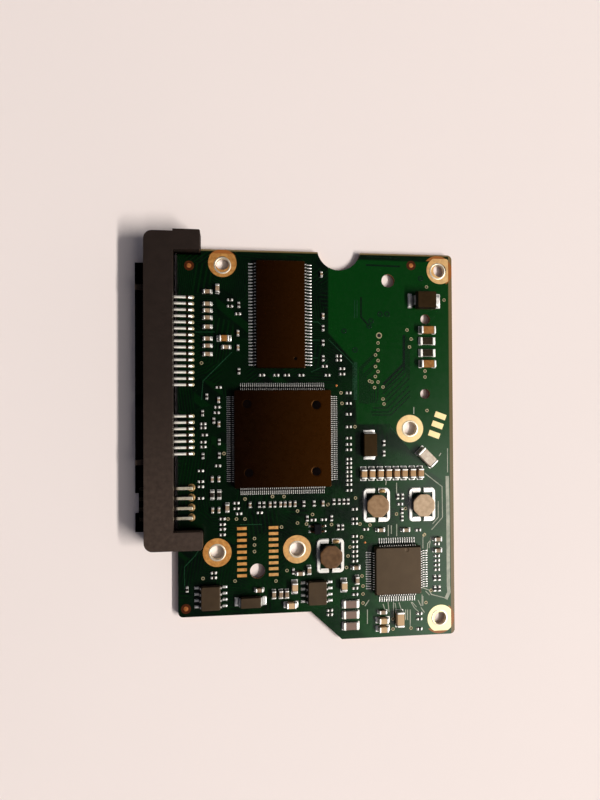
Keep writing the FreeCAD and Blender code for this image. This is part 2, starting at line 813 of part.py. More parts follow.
PACKAGES = (
    ("controller", "controller", (368, 519), CONTROLLER_LEADS, 4, 0),
    ("memory", "memory", (362, 836), MEMORY_LEADS, 2, 0),
    ("motor_driver", "driver", (783, 174), DRIVER_LEADS, 4, 0),
    ("firmware_chip", "outline", (113, 123), OUTLINE_LEADS, 2, 0),
    ("switch_chip", "outline", (488, 125), OUTLINE_LEADS, 2, 0),
    ("array_chip", "array", (492, 286), ARRAY_LEADS, 2, 0),
    ("surge_diode", "surge", (893, 877), DIODE_LEADS, 2, 0),
    ("upper_rectifier", "rectifier", (683, 500), DIODE_LEADS, 2, 90),
    ("lower_rectifier", "clamp", (252, 108), DIODE_LEADS, 2, 0),
)
CHIP_KINDS = (
    "capacitor_1206",
    "resistor_1206",
    "capacitor_0805",
    "capacitor_0603",
    "resistor_0603",
    "capacitor_0402",
    "resistor_0402",
)


def node_names():
    """Names of all sub-parts, in the order of assembly."""
    names = ["bare_board", "screw_lands", "head_contact_pads", "motor_contact_pads", "connector_housing"]
    names += ["power_contacts", "signal_contacts", "jumper_pins"]
    for package in PACKAGES:
        names += [f"{package[0]}_body", f"{package[0]}_leads"]
    names += ["inductor_drums", "inductor_coils", "inductor_frames", "shock_sensor_body", "shock_sensor_ends"]
    for kind in CHIP_KINDS:
        names += [f"{kind}_bodies", f"{kind}_ends"]
    return names


fill_sheet()
make_board()
make_lands()
make_contact_pads()
make_housing(make_contacts())
for package in PACKAGES:
    make_package(*package)
make_inductors()
make_sensor()
make_passives()
doc.recompute()
export_all([doc.getObjectsByLabel(name)[0] for name in node_names()])
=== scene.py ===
import logging
import math
from dataclasses import dataclass
from enum import Enum

import bmesh
import bpy
import numpy as np
from mathutils import Matrix, Vector


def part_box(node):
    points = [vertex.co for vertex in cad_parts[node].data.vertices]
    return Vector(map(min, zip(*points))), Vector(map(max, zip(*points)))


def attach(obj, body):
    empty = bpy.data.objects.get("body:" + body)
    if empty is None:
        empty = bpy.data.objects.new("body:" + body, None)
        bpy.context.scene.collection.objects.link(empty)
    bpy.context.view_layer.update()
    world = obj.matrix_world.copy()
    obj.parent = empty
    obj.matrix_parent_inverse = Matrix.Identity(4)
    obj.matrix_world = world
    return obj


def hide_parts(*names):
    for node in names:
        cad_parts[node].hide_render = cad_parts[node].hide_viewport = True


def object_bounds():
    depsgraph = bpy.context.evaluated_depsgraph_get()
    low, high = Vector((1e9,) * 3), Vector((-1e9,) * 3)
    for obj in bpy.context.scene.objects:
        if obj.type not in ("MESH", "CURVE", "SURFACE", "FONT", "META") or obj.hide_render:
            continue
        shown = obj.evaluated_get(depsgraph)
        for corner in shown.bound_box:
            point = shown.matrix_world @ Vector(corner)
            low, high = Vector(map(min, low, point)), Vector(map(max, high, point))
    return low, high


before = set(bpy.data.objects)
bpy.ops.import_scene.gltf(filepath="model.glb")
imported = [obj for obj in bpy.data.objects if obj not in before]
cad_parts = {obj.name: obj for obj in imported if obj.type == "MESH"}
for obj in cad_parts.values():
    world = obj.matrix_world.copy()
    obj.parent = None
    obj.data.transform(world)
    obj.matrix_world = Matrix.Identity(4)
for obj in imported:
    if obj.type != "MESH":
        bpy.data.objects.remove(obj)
CAD_BOX = [list(corner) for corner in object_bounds()]
LOG = logging.getLogger("drive_board")

# All shapes are worked out in millimetres in the part's own frame; Blender's meshes are in metres.
MM = 0.001
BODY = "root"
UP = np.array([0.0, 0.0, 1.0])
STEEP = "steep"

# Axes of copies that aren't turned, and of copies that hang upside down
UNTURNED = np.eye(3)[None]
UPSIDE_DOWN = np.diag([1.0, -1.0, -1.0])[None]

Triple = tuple[float, float, float]
Colour = Triple
Pair = tuple[float, float]
Pixel = Pair
Path = tuple[Pixel, ...]


class Shading(Enum):
    """How a piece is shaded: the angle in degrees above which an edge stays sharp."""

    MOULDED = 25.0
    TURNED = 35.0
    EDGED = 40.0
    COATED = 50.0
    WOUND = 80.0


@dataclass
class Shell:
    """A mesh in the making.

    Attributes:
        points: One row of three coordinates for each point, in millimetres.
        faces: Arrays of point numbers, one array for each number of sides.
    """

    points: np.ndarray
    faces: list[np.ndarray]

    def outward(self) -> "Shell":
        """Turns all faces round where the enclosed volume, summed over face fans, comes out negative.

        Returns:
            The same shell, its faces pointing outwards.
        """
        volume = 0.0
        for face in self.faces:
            corners = self.points[face]
            fan = np.cross(corners[:, 1:-1], corners[:, 2:])
            volume += np.einsum("ik,ijk->", corners[:, 0], fan)
        if volume < 0:
            self.faces = [face[:, ::-1] for face in self.faces]
        return self

    def scattered(self, places: np.ndarray, axes: np.ndarray = UNTURNED) -> "Shell":
        """Copies the shell: each point becomes axes times point plus place.

        Args:
            places: One row of three coordinates for each copy.
            axes: One matrix for each copy, its columns being the copy's own axes, or one for all copies.

        Returns:
            One shell that holds all copies.
        """
        points = np.einsum("nij,vj->nvi", axes, self.points) + places[:, None]
        shift = (np.arange(len(places)) * len(self.points))[:, None, None]
        faces = [(face[None] + shift).reshape(-1, face.shape[1]) for face in self.faces]
        return Shell(points.reshape(-1, 3), faces)

    def moved(self, x: float, y: float, z: float) -> "Shell":
        """The same shell at another place."""
        return Shell(self.points + np.array([x, y, z]), self.faces)

    @staticmethod
    def joined(shells: list["Shell"]) -> "Shell":
        """Joins shells into one, point numbers counted on from one to the next.

        Args:
            shells: The shells, in order.

        Returns:
            One shell.
        """
        counts = np.cumsum([0] + [len(shell.points) for shell in shells])
        faces = [face + start for shell, start in zip(shells, counts) for face in shell.faces]
        return Shell(np.concatenate([shell.points for shell in shells]), faces)


def loft(rings: np.ndarray, loop: bool = False) -> Shell:
    """Joins rings of equal point count by quads and closes the ends.

    Args:
        rings: Array of rings by points by three coordinates.
        loop: True where the last ring joins the first, as in a tyre; otherwise flat faces close both ends.

    Returns:
        A closed shell.
    """
    count, sides = rings.shape[:2]
    ring = np.arange(count if loop else count - 1)[:, None]
    side = np.arange(sides)[None]
    after, beside = (ring + 1) % count, (side + 1) % sides
    quads = np.stack([
        ring * sides + side, ring * sides + beside, after * sides + beside, after * sides + side,
    ], axis=-1)
    faces = [quads.reshape(-1, 4)]
    if not loop:
        faces += [np.arange(sides)[None, ::-1], (count - 1) * sides + np.arange(sides)[None]]
    return Shell(rings.reshape(-1, 3), faces).outward()


def rounded_ring(width: float, length: float, corner: float, steps: int) -> np.ndarray:
    """Outline of a rectangle with round corners: four quarter circles, joined by straight sides.

    Args:
        width: Size along X.
        length: Size along Y.
        corner: Radius of the corners.
        steps: Straight steps in each quarter circle.

    Returns:
        Points in order, two coordinates each.
    """
    corner = max(min(corner, width / 2, length / 2), 0.001)
    quarter = np.arange(4)[:, None]
    turn = (quarter + np.linspace(0, 1, steps + 1)[None]) * math.pi / 2
    centre = np.stack([np.sign(np.cos(quarter * math.pi / 2 + 0.7)) * (width / 2 - corner),
                       np.sign(np.sin(quarter * math.pi / 2 + 0.7)) * (length / 2 - corner)], axis=-1)
    arcs = centre + corner * np.stack([np.cos(turn), np.sin(turn)], axis=-1)
    return arcs.reshape(-1, 2)


def stacked(width: float, length: float, corner: float, levels: list[Pair], steps: int = 1) -> Shell:
    """A block built up of level outlines: at each level the rectangle is smaller all round by the inset.

    Args:
        width: Size along X.
        length: Size along Y.
        corner: Radius of the upright edges.
        levels: Height and inset of each outline, from below.
        steps: Straight steps in each corner.

    Returns:
        A closed shell that stands on the first level.
    """
    rings = []
    for height, inset in levels:
        ring = rounded_ring(width - 2 * inset, length - 2 * inset, corner - inset, steps)
        rings.append(np.column_stack([ring, np.full(len(ring), height)]))
    return loft(np.array(rings))


def revolved(profile: np.ndarray, sides: int, loop: bool = False) -> Shell:
    """Turns a profile about the Z axis: radius times the cosine and sine of the turn, height kept.

    Args:
        profile: Rows of radius and height.
        sides: Straight steps of a full turn.
        loop: True for a closed profile clear of the axis, as of a ring.

    Returns:
        A closed shell.
    """
    turn = np.arange(sides) * 2 * math.pi / sides
    circle = np.stack([np.cos(turn), np.sin(turn), np.zeros(sides)], axis=-1)
    return loft(profile[:, :1, None] * circle[None] + profile[:, 1:, None] * UP, loop)


def ribbon(path: np.ndarray, width: float, height: float, base: float, lean: float = 0.25) -> Shell:
    """A flat strip carried along a path in the plan, its corners mitred.

    At each point the offset direction is the sum of the two neighbouring normals divided by one plus their
    product, so that the strip keeps its width round a bend.

    Args:
        path: Points of the plan, two coordinates each.
        width: Width of the strip at its foot.
        height: Thickness of the strip.
        base: Height of its underside.
        lean: Share of the thickness by which each flank leans in.

    Returns:
        A closed shell.
    """
    run = np.diff(path, axis=0)
    normal = np.stack([-run[:, 1], run[:, 0]], axis=-1) / np.linalg.norm(run, axis=1, keepdims=True)
    before, after = np.vstack([normal[:1], normal]), np.vstack([normal, normal[-1:]])
    mitre = (before + after) / (1 + np.sum(before * after, axis=1, keepdims=True))
    across = np.array([-0.5, 0.5, 0.5, -0.5]) * width + np.array([0, 0, -1, 1]) * lean * height
    level = base + np.array([0, 0, 1, 1]) * height
    plan = path[:, None] + mitre[:, None] * across[None, :, None]
    return loft(np.concatenate([plan, np.broadcast_to(level[None, :, None], plan.shape[:2] + (1,))], axis=-1))


def formed_strip(line: np.ndarray, width: float, thickness: float) -> Shell:
    """A metal strip that follows a line in the X-Z plane, offset along the normal, its upper edges broken.

    Args:
        line: Points of the middle line, X and Z.
        width: Width along Y.
        thickness: Thickness of the sheet.

    Returns:
        A closed shell.
    """
    run = np.gradient(line, axis=0)
    normal = np.stack([-run[:, 1], run[:, 0]], axis=-1) / np.linalg.norm(run, axis=1, keepdims=True)
    side = np.array([-1, 1, 1, 0.65, -0.65, -1]) * width / 2
    rise = np.array([-1, -1, 0.3, 1, 1, 0.3]) * thickness / 2
    section = line[:, None] + normal[:, None] * rise[None, :, None]
    across = np.broadcast_to(side[None], section.shape[:2])
    return loft(np.stack([section[..., 0], across, section[..., 1]], axis=-1))


def falling(start: float, end: float, fall: float, steps: int) -> np.ndarray:
    """A line that falls to nothing in half a cosine wave.

    Args:
        start: Place along X where it starts to fall.
        end: Place along X where it is down.
        fall: Height at its start.
        steps: Number of points.

    Returns:
        Rows of X and Z.
    """
    way = np.linspace(0, 1, steps)
    return np.column_stack([start + (end - start) * way, fall * (1 + np.cos(math.pi * way)) / 2])


def mound(stations: np.ndarray, shoulder: float = 0.72) -> Shell:
    """A drop of solder along X: at each station a low arch of the given half width and height on a flat foot.

    Args:
        stations: Rows of place along X, half width and height.
        shoulder: Share of the height that the arch has at two thirds of its half width.

    Returns:
        A closed shell.
    """
    across = np.array([-1, -0.66, 0, 0.66, 1])
    arch = np.array([0, shoulder, 1, shoulder, 0])
    place = np.broadcast_to(stations[:, :1], (len(stations), len(across)))
    rings = np.stack([place, stations[:, 1:2] * across, stations[:, 2:] * arch], axis=-1)
    return loft(rings)


def plan_axes(outward: np.ndarray) -> np.ndarray:
    """Axes of pieces that lie on the board: X along the given direction, Z upwards.

    Args:
        outward: One level unit vector for each piece.

    Returns:
        One matrix for each piece, its columns being the axes.
    """
    beside = np.cross(UP, outward)
    return np.stack([outward, beside, np.broadcast_to(UP, outward.shape)], axis=-1)


def at_height(places: np.ndarray, height: float) -> np.ndarray:
    """Points of the plan with one height for all."""
    return np.column_stack([places, np.full(len(places), height)])


def mesh_points(mesh: bpy.types.Mesh) -> np.ndarray:
    """Points of a mesh.

    Args:
        mesh: The mesh.

    Returns:
        One row of coordinates in metres for each point.
    """
    points = np.empty(len(mesh.vertices) * 3, np.float32)
    mesh.vertices.foreach_get("co", points)
    return points.reshape(-1, 3)


def face_normals(mesh: bpy.types.Mesh) -> np.ndarray:
    """Normals of a mesh's faces.

    Args:
        mesh: The mesh.

    Returns:
        One row for each face.
    """
    normals = np.empty(len(mesh.polygons) * 3, np.float32)
    mesh.polygons.foreach_get("normal", normals)
    return normals.reshape(-1, 3)


def put(name: str, data: bpy.types.ID) -> bpy.types.Object:
    """Links a new object into the scene.

    Args:
        name: Name of the object.
        data: Its mesh, light or camera.

    Returns:
        The object.
    """
    item = bpy.data.objects.new(name, data)
    bpy.context.scene.collection.objects.link(item)
    return item


def solid_boxes(node: str) -> np.ndarray:
    """Finds the separate solids of a node: the lowest label goes round each triangle until nothing changes.

    Args:
        node: Name of the node in the frame.

    Returns:
        Lowest and highest corner of each solid, in millimetres.
    """
    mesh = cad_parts[node].data
    corners = np.empty(len(mesh.loops), np.int32)
    mesh.loops.foreach_get("vertex_index", corners)
    unique, number = np.unique((mesh_points(mesh) / MM).round(3), axis=0, return_inverse=True)
    triangles = number.reshape(-1)[corners].reshape(-1, 3)
    label = np.arange(len(unique))
    while True:
        fresh = label.copy()
        np.minimum.at(fresh, triangles.ravel(), np.repeat(label[triangles].min(axis=1), 3))
        if np.array_equal(fresh, label):
            break
        label = fresh
    names, group = np.unique(label, return_inverse=True)
    low, high = np.full((len(names), 3), np.inf), np.full((len(names), 3), -np.inf)
    np.minimum.at(low, group, unique)
    np.maximum.at(high, group, unique)
    return np.stack([low, high], axis=1)


def node_box(node: str) -> np.ndarray:
    """Lowest and highest corner of a whole node, in millimetres."""
    return np.array([list(corner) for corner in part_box(node)]) / MM


class Graph:
    """Builds the nodes of one material, with places in millimetres."""

    def __init__(self, name: str) -> None:
        """Starts an empty material with its main shader.

        Args:
            name: Name of the material.
        """
        self.material = bpy.data.materials.new(name)
        self.material.use_nodes = True
        self.nodes = self.material.node_tree.nodes
        self.links = self.material.node_tree.links
        self.shader = self.nodes["Principled BSDF"]
        place = self.nodes.new("ShaderNodeTexCoord").outputs["Object"]
        self.place = self.vector("SCALE", place, scale=1 / MM)

    def feed(self, socket: bpy.types.NodeSocket, value: object) -> None:
        """Links a socket to another socket, or sets its value.

        Args:
            socket: The input.
            value: An output socket, a number or a colour.
        """
        if isinstance(value, bpy.types.NodeSocket):
            self.links.new(value, socket)
        elif socket.type == "RGBA" and len(value) == 3:
            socket.default_value = (*value, 1.0)
        else:
            socket.default_value = value

    def math(self, operation: str, first: object, second: object = 0.0) -> bpy.types.NodeSocket:
        """One sum on two numbers.

        Args:
            operation: Blender's name of the sum.
            first: Socket or number.
            second: Socket or number.

        Returns:
            The result's socket.
        """
        node = self.nodes.new("ShaderNodeMath")
        node.operation = operation
        self.feed(node.inputs[0], first)
        self.feed(node.inputs[1], second)
        return node.outputs[0]

    def vector(self, operation: str, first: object, second: object = (0, 0, 0), scale: float = 1.0,
               output: str = "Vector") -> bpy.types.NodeSocket:
        """One sum on two vectors.

        Args:
            operation: Blender's name of the sum.
            first: Socket or vector.
            second: Socket or vector.
            scale: Factor of a scaling.
            output: Name of the output, Vector or Value.

        Returns:
            The result's socket.
        """
        node = self.nodes.new("ShaderNodeVectorMath")
        node.operation = operation
        self.feed(node.inputs[0], first)
        self.feed(node.inputs[1], second)
        if operation == "SCALE":
            node.inputs["Scale"].default_value = scale
        return node.outputs[output]

    def along(self, axis: object) -> bpy.types.NodeSocket:
        """Way along an axis, a vector or a socket, in millimetres."""
        return self.vector("DOT_PRODUCT", self.place, axis, output="Value")

    def noise(self, size: float, detail: float = 2.0, stretch: Triple = (1, 1, 1)) -> bpy.types.NodeSocket:
        """Cloudy noise from 0 to 1.

        Args:
            size: Size of the clouds in millimetres.
            detail: Finer layers on top.
            stretch: Factors on the three axes, for streaks.

        Returns:
            The noise's socket.
        """
        node = self.nodes.new("ShaderNodeTexNoise")
        node.inputs["Scale"].default_value = 1 / size
        node.inputs["Detail"].default_value = detail
        self.feed(node.inputs["Vector"], self.vector("MULTIPLY", self.place, stretch))
        return node.outputs["Fac"]

    def cells(self, size: float, output: str = "Distance") -> bpy.types.NodeSocket:
        """Irregular cells: the distance to the nearest cell centre, or a random colour for each cell.

        Args:
            size: Size of the cells in millimetres.
            output: Distance or Color.

        Returns:
            The socket.
        """
        node = self.nodes.new("ShaderNodeTexVoronoi")
        node.inputs["Scale"].default_value = 1 / size
        self.feed(node.inputs["Vector"], self.place)
        return node.outputs[output]

    def marked(self, name: str) -> bpy.types.NodeSocket:
        """A number that the mesh carries for each face.

        Args:
            name: Name of the number.

        Returns:
            The socket.
        """
        node = self.nodes.new("ShaderNodeAttribute")
        node.attribute_name = name
        return node.outputs["Fac"]

    def smooth(self, value: bpy.types.NodeSocket, low: float, high: float, to_low: float = 0.0,
               to_high: float = 1.0) -> bpy.types.NodeSocket:
        """Smooth step of a value from one level to another.

        Args:
            value: The socket.
            low: Value at which the step starts.
            high: Value at which it ends.
            to_low: Result before the step.
            to_high: Result after the step.

        Returns:
            The result's socket.
        """
        node = self.nodes.new("ShaderNodeMapRange")
        node.interpolation_type = "SMOOTHSTEP"
        self.feed(node.inputs["Value"], value)
        for name, number in (("From Min", low), ("From Max", high), ("To Min", to_low), ("To Max", to_high)):
            node.inputs[name].default_value = number
        return node.outputs["Result"]

    def mix(self, share: object, first: object, second: object) -> bpy.types.NodeSocket:
        """Mixes two colours.

        Args:
            share: Socket or number, 0 for the first colour and 1 for the second.
            first: Socket or colour.
            second: Socket or colour.

        Returns:
            The mixed colour's socket.
        """
        node = self.nodes.new("ShaderNodeMix")
        node.data_type = "RGBA"
        self.feed(node.inputs[0], share)
        self.feed(node.inputs[6], first)
        self.feed(node.inputs[7], second)
        return node.outputs[2]

    def bump(self, height: bpy.types.NodeSocket, depth: float) -> None:
        """Gives the surface a relief.

        Args:
            height: Relief from 0 to 1.
            depth: Height of the relief in millimetres.
        """
        node = self.nodes.new("ShaderNodeBump")
        node.inputs["Distance"].default_value = depth * MM
        self.feed(node.inputs["Height"], height)
        self.feed(self.shader.inputs["Normal"], node.outputs["Normal"])


class Grain(Enum):
    """Pattern of a finish's fine relief."""

    CLOUD = "soft and irregular"
    SPECK = "small separate grains"
    DRAWN = "streaks along the length"


@dataclass(frozen=True)
class Finish:
    """A surface finish with two colours that run into each other, uneven gloss and a fine relief.

    Attributes:
        name: Name of the finish.
        deep: Colour in the low or worn places.
        fair: Colour elsewhere.
        patch: Size of the colour patches in millimetres.
        rough: Least and greatest roughness.
        metal: 1 for metal, 0 otherwise.
        grain: Pattern of the relief.
        grain_size: Size of its marks in millimetres.
        relief: Height of the relief in millimetres.
        gloss: Level of the reflection of what isn't metal.
        tint: Colour of that reflection.
        steep_shade: Share of the colour that steep faces lose, as painted shade.
    """

    name: str
    deep: Colour
    fair: Colour
    patch: float = 1.0
    rough: Pair = (0.4, 0.5)
    metal: float = 0.0
    grain: Grain = Grain.CLOUD
    grain_size: float = 0.1
    relief: float = 0.003
    gloss: float = 0.5
    tint: Colour = (1.0, 1.0, 1.0)
    steep_shade: float = 0.0

    def material(self) -> bpy.types.Material:
        """The finish's material, made at its first use.

        Returns:
            The material.
        """
        known = bpy.data.materials.get(self.name)
        if known:
            return known
        graph = Graph(self.name)
        self.build(graph)
        return graph.material

    def build(self, graph: Graph) -> None:
        """Fills the material: colours mixed by noise, roughness by finer noise, relief by the grain.

        Args:
            graph: The material's nodes.
        """
        self.shade(graph, self.patches(graph))

    def patches(self, graph: Graph) -> bpy.types.NodeSocket:
        """The two colours of the finish, mixed by noise."""
        return graph.mix(graph.smooth(graph.noise(self.patch, 4.0), 0.3, 0.7), self.deep, self.fair)

    def shade(self, graph: Graph, colour: bpy.types.NodeSocket) -> None:
        """Sets the main shader: colour with painted shade on steep faces, uneven gloss and relief.

        Args:
            graph: The material's nodes.
            colour: Socket of the surface colour.
        """
        inputs = graph.shader.inputs
        # Painted shade: steep faces are darkened towards the deep colour.
        if self.steep_shade:
            steep_shade_colour = tuple(part * (1 - self.steep_shade) for part in self.deep)
            colour = graph.mix(graph.marked(STEEP), colour, steep_shade_colour)
        graph.feed(inputs["Base Color"], colour)
        inputs["Metallic"].default_value = self.metal
        inputs["Specular IOR Level"].default_value = self.gloss
        graph.feed(inputs["Specular Tint"], self.tint)
        uneven = graph.noise(self.patch / 3, 3.0)
        graph.feed(inputs["Roughness"], graph.smooth(uneven, 0.3, 0.7, *self.rough))
        if self.grain is Grain.SPECK:
            height = graph.cells(self.grain_size)
        elif self.grain is Grain.DRAWN:
            height = graph.noise(self.grain_size, 2.0, (0.08, 1, 1))
        else:
            height = graph.noise(self.grain_size, 3.0)
        graph.bump(height, self.relief)


@dataclass(frozen=True)
class SolderMask(Finish):
    """Green solder mask over copper and laminate, with bare laminate on the flanks and painted light towards
    one corner.

    Attributes:
        border: Colour of the rim, where no copper lies under the mask.
        tan: Colour of bare laminate beside the outer screw lands and on the flanks.
        rim: Width of the rim along the far edge and along the upper edge, in millimetres.
        pours: Outlines of the copper areas under the mask, points of the plan.
        bare: Centres of the screw lands that have bare laminate beside them.
        bare_reach: Distance from those centres within which the laminate is bare.
        bare_edge: Distance from the edge of the board within which it is.
        lane: Spacing of the fine routing under the mask.
        painted_light_axis: Level direction in which more copper shows and the mask is painted paler with
            sheen.
        shown: Places along that direction between which the copper comes to show, partly copper and partly
            painted light.
        shown_share: Share of the copper that shows at those two places.
        lane_share: How strongly the lanes show away from copper, and how much less they do over it.
        sheen_span: Places along the direction between which the mask becomes pale with painted sheen.
        sheen_level: How pale the painted sheen makes it.
        sheen_colour: Colour of the mask under the painted sheen.
    """

    border: Colour = (0.19, 0.13, 0.055)
    tan: Colour = (0.33, 0.11, 0.025)
    rim: Pair = (0.75, 0.3)
    pours: tuple[Path, ...] = ()
    bare: Path = ()
    bare_reach: float = 3.3
    bare_edge: float = 1.3
    lane: float = 0.42
    painted_light_axis: Triple = (0.9, -0.43, 0.0)
    shown: Pair = (-2.0, 40.0)
    shown_share: Pair = (0.1, 0.95)
    lane_share: Pair = (0.24, 0.22)
    sheen_span: Pair = (14.0, 56.0)
    sheen_level: float = 0.6
    sheen_colour: Colour = (0.026, 0.105, 0.032)

    def edge_distance(self, graph: Graph, outline: Path) -> bpy.types.NodeSocket:
        """Distance out of a convex outline: the greatest of the distances beyond its sides.

        Args:
            graph: The material's nodes.
            outline: Corners in order.

        Returns:
            Socket of the distance, negative inside.
        """
        corners = np.array(outline)
        after = np.roll(corners, -1, axis=0)
        run = after - corners
        area = np.sum(corners[:, 0] * after[:, 1] - corners[:, 1] * after[:, 0])
        normal = np.stack([run[:, 1], -run[:, 0]], axis=-1) / np.linalg.norm(run, axis=1, keepdims=True)
        normal *= np.sign(area)
        result = None
        for direction, reach in zip(normal, np.sum(normal * corners, axis=1)):
            across = graph.along((*direction, 0))
            beyond = graph.math("SUBTRACT", across, float(reach))
            result = beyond if result is None else graph.math("MAXIMUM", result, beyond)
        return result

    def near(self, graph: Graph, centre: Pair, reach: float) -> bpy.types.NodeSocket:
        """1 within a reach of a point of the plan, falling to 0 just beyond it.

        Args:
            graph: The material's nodes.
            centre: Point of the plan.
            reach: Radius in millimetres.

        Returns:
            The socket.
        """
        flat = graph.vector("MULTIPLY", graph.place, (1, 1, 0))
        distance = graph.vector("DISTANCE", flat, (*centre, 0), output="Value")
        return graph.smooth(distance, reach - 0.1, reach + 0.1, 1.0, 0.0)

    def beyond(self, graph: Graph, axis: Triple, level: float) -> bpy.types.NodeSocket:
        """1 beyond a level on an axis, falling to 0 just before it.

        Args:
            graph: The material's nodes.
            axis: The axis.
            level: The level in millimetres.

        Returns:
            The socket.
        """
        return graph.smooth(graph.along(axis), level - 0.1, level + 0.1)

    def routing(self, graph: Graph) -> bpy.types.NodeSocket:
        """Fine lanes under the mask: stripes whose direction changes from one irregular cell to the next.

        Args:
            graph: The material's nodes.

        Returns:
            Socket from 0 between lanes to 1 on them.
        """
        cell = graph.cells(5.0, "Color")
        turned = graph.vector("SNAP", cell, (0.34, 0.34, 0.34))
        direction = graph.vector("NORMALIZE", graph.vector("ADD", turned, (-0.3, 0.05, 0)))
        along = graph.along(direction)
        wave = graph.math("SINE", graph.math("MULTIPLY", along, 2 * math.pi / self.lane))
        return graph.smooth(wave, 0.2, 0.7)

    def build(self, graph: Graph) -> None:
        """Fills the material from the plan: routing, copper areas, painted light, rim, bare laminate and
        flanks.

        Args:
            graph: The material's nodes.
        """
        clouds = graph.smooth(graph.noise(6.0, 4.0), 0.35, 0.65)
        along = graph.along(self.painted_light_axis)
        # More copper shows along the axis: partly real copper, partly painted light.
        copper = graph.math("MULTIPLY", clouds, graph.smooth(along, *self.shown, *self.shown_share))
        for outline in self.pours:
            inside = graph.smooth(self.edge_distance(graph, outline), -0.4, 0.1, 1.0, 0.0)
            copper = graph.math("MAXIMUM", copper, inside)
        strong, weaker = self.lane_share
        free = graph.math("SUBTRACT", strong, graph.math("MULTIPLY", copper, weaker))
        lanes = graph.math("MULTIPLY", self.routing(graph), free)
        green = graph.mix(graph.math("ADD", copper, lanes), self.deep, self.fair)
        # Painted sheen: the mask turns pale along the axis.
        green = graph.mix(graph.smooth(along, *self.sheen_span, 0.0, self.sheen_level), green, self.sheen_colour)
        low, high = node_box("bare_board")
        far, upper = (self.beyond(graph, axis, float(np.dot(axis, high)) - width)
                      for axis, width in zip(((1, 0, 0), (0, 1, 0)), self.rim))
        colour = graph.mix(graph.math("MAXIMUM", far, upper), green, self.border)
        reach = float(high[1] - low[1]) / 2 - self.bare_edge
        level = graph.along((0, 1, 0))
        off_middle = graph.math("ABSOLUTE", graph.math("SUBTRACT", level, float(high[1] + low[1]) / 2))
        edge = graph.math("MAXIMUM", graph.smooth(off_middle, reach - 0.1, reach + 0.1),
                          self.beyond(graph, (1, 0, 0), float(high[0]) - self.bare_edge))
        for centre in self.bare:
            zone = graph.math("MULTIPLY", edge, self.near(graph, centre, self.bare_reach))
            colour = graph.mix(zone, colour, self.tan)
        height = graph.along((0, 0, 1))
        middle = graph.math("ABSOLUTE", graph.math("SUBTRACT", height, float(low[2] + high[2]) / 2))
        half = float(high[2] - low[2]) / 2
        flank = graph.smooth(middle, half - 0.02, half - 0.01, 1.0, 0.0)
        fibres = graph.mix(graph.noise(0.12, 2.0, (1, 1, 5)), self.border, self.tan)
        self.shade(graph, graph.mix(flank, colour, fibres))


@dataclass(frozen=True)
class PaintedLightFinish(Finish):
    """A finish with painted light: it turns to another colour towards one corner of the board.

    Attributes:
        far: Colour at that corner, paler for painted sheen and darker for painted shade.
        axis: Level direction towards the corner.
        span: Places along that direction, in millimetres, between which the colour changes.
    """

    far: Colour = (0.97, 0.84, 0.58)
    axis: Triple = (0.9, -0.43, 0.0)
    span: Pair = (2.0, 46.0)

    def build(self, graph: Graph) -> None:
        """Fills the material: patches as elsewhere, mixed with the painted far colour along the axis.

        Args:
            graph: The material's nodes.
        """
        along = graph.along(self.axis)
        # Painted light: the colour changes along the axis towards the far colour.
        self.shade(graph, graph.mix(graph.smooth(along, *self.span), self.patches(graph), self.far))


@dataclass(frozen=True)
class PaintedLightPlastic(Finish):
    """Dark plastic painted paler with sheen towards one end, and painted black as shade in its recesses.

    Attributes:
        lower_end_sheen: Colour of the painted sheen at the lower end.
        node: Node of the frame whose length it follows.
        span: Shares of that length, from its lower end, at which the painted sheen is full and ends.
        recess: Heights in millimetres below which painted shade makes the plastic black, above which it is as
            elsewhere.
        recess_shade: Share of the deep colour that is left in the recess, as painted shade.
        sheen_patch: Size of the patches of painted sheen in millimetres.
    """

    lower_end_sheen: Colour = (0.062, 0.042, 0.031)
    node: str = "connector_housing"
    span: Pair = (0.02, 0.6)
    recess: Pair = (2.2, 4.2)
    recess_shade: float = 0.25
    sheen_patch: float = 0.9

    def build(self, graph: Graph) -> None:
        """Fills the material: patches as elsewhere, with painted sheen towards the lower end and painted
        shade in the recess.

        Args:
            graph: The material's nodes.
        """
        low, high = node_box(self.node)[:, 1]
        full, free = (float(low + share * (high - low)) for share in self.span)
        # Painted sheen towards the lower end, in patches.
        towards_lower_end = graph.smooth(graph.along((0, 1, 0)), full, free, 1.0, 0.0)
        sheen_share = graph.math("MULTIPLY", towards_lower_end, graph.noise(self.sheen_patch, 4.0))
        # Painted shade below the recess height: black, with no reflection.
        unshaded = graph.smooth(graph.along((0, 0, 1)), *self.recess)
        colour = graph.mix(sheen_share, self.patches(graph), self.lower_end_sheen)
        self.shade(graph, graph.mix(unshaded, tuple(part * self.recess_shade for part in self.deep), colour))
        graph.feed(graph.shader.inputs["Specular IOR Level"], graph.math("MULTIPLY", unshaded, self.gloss))


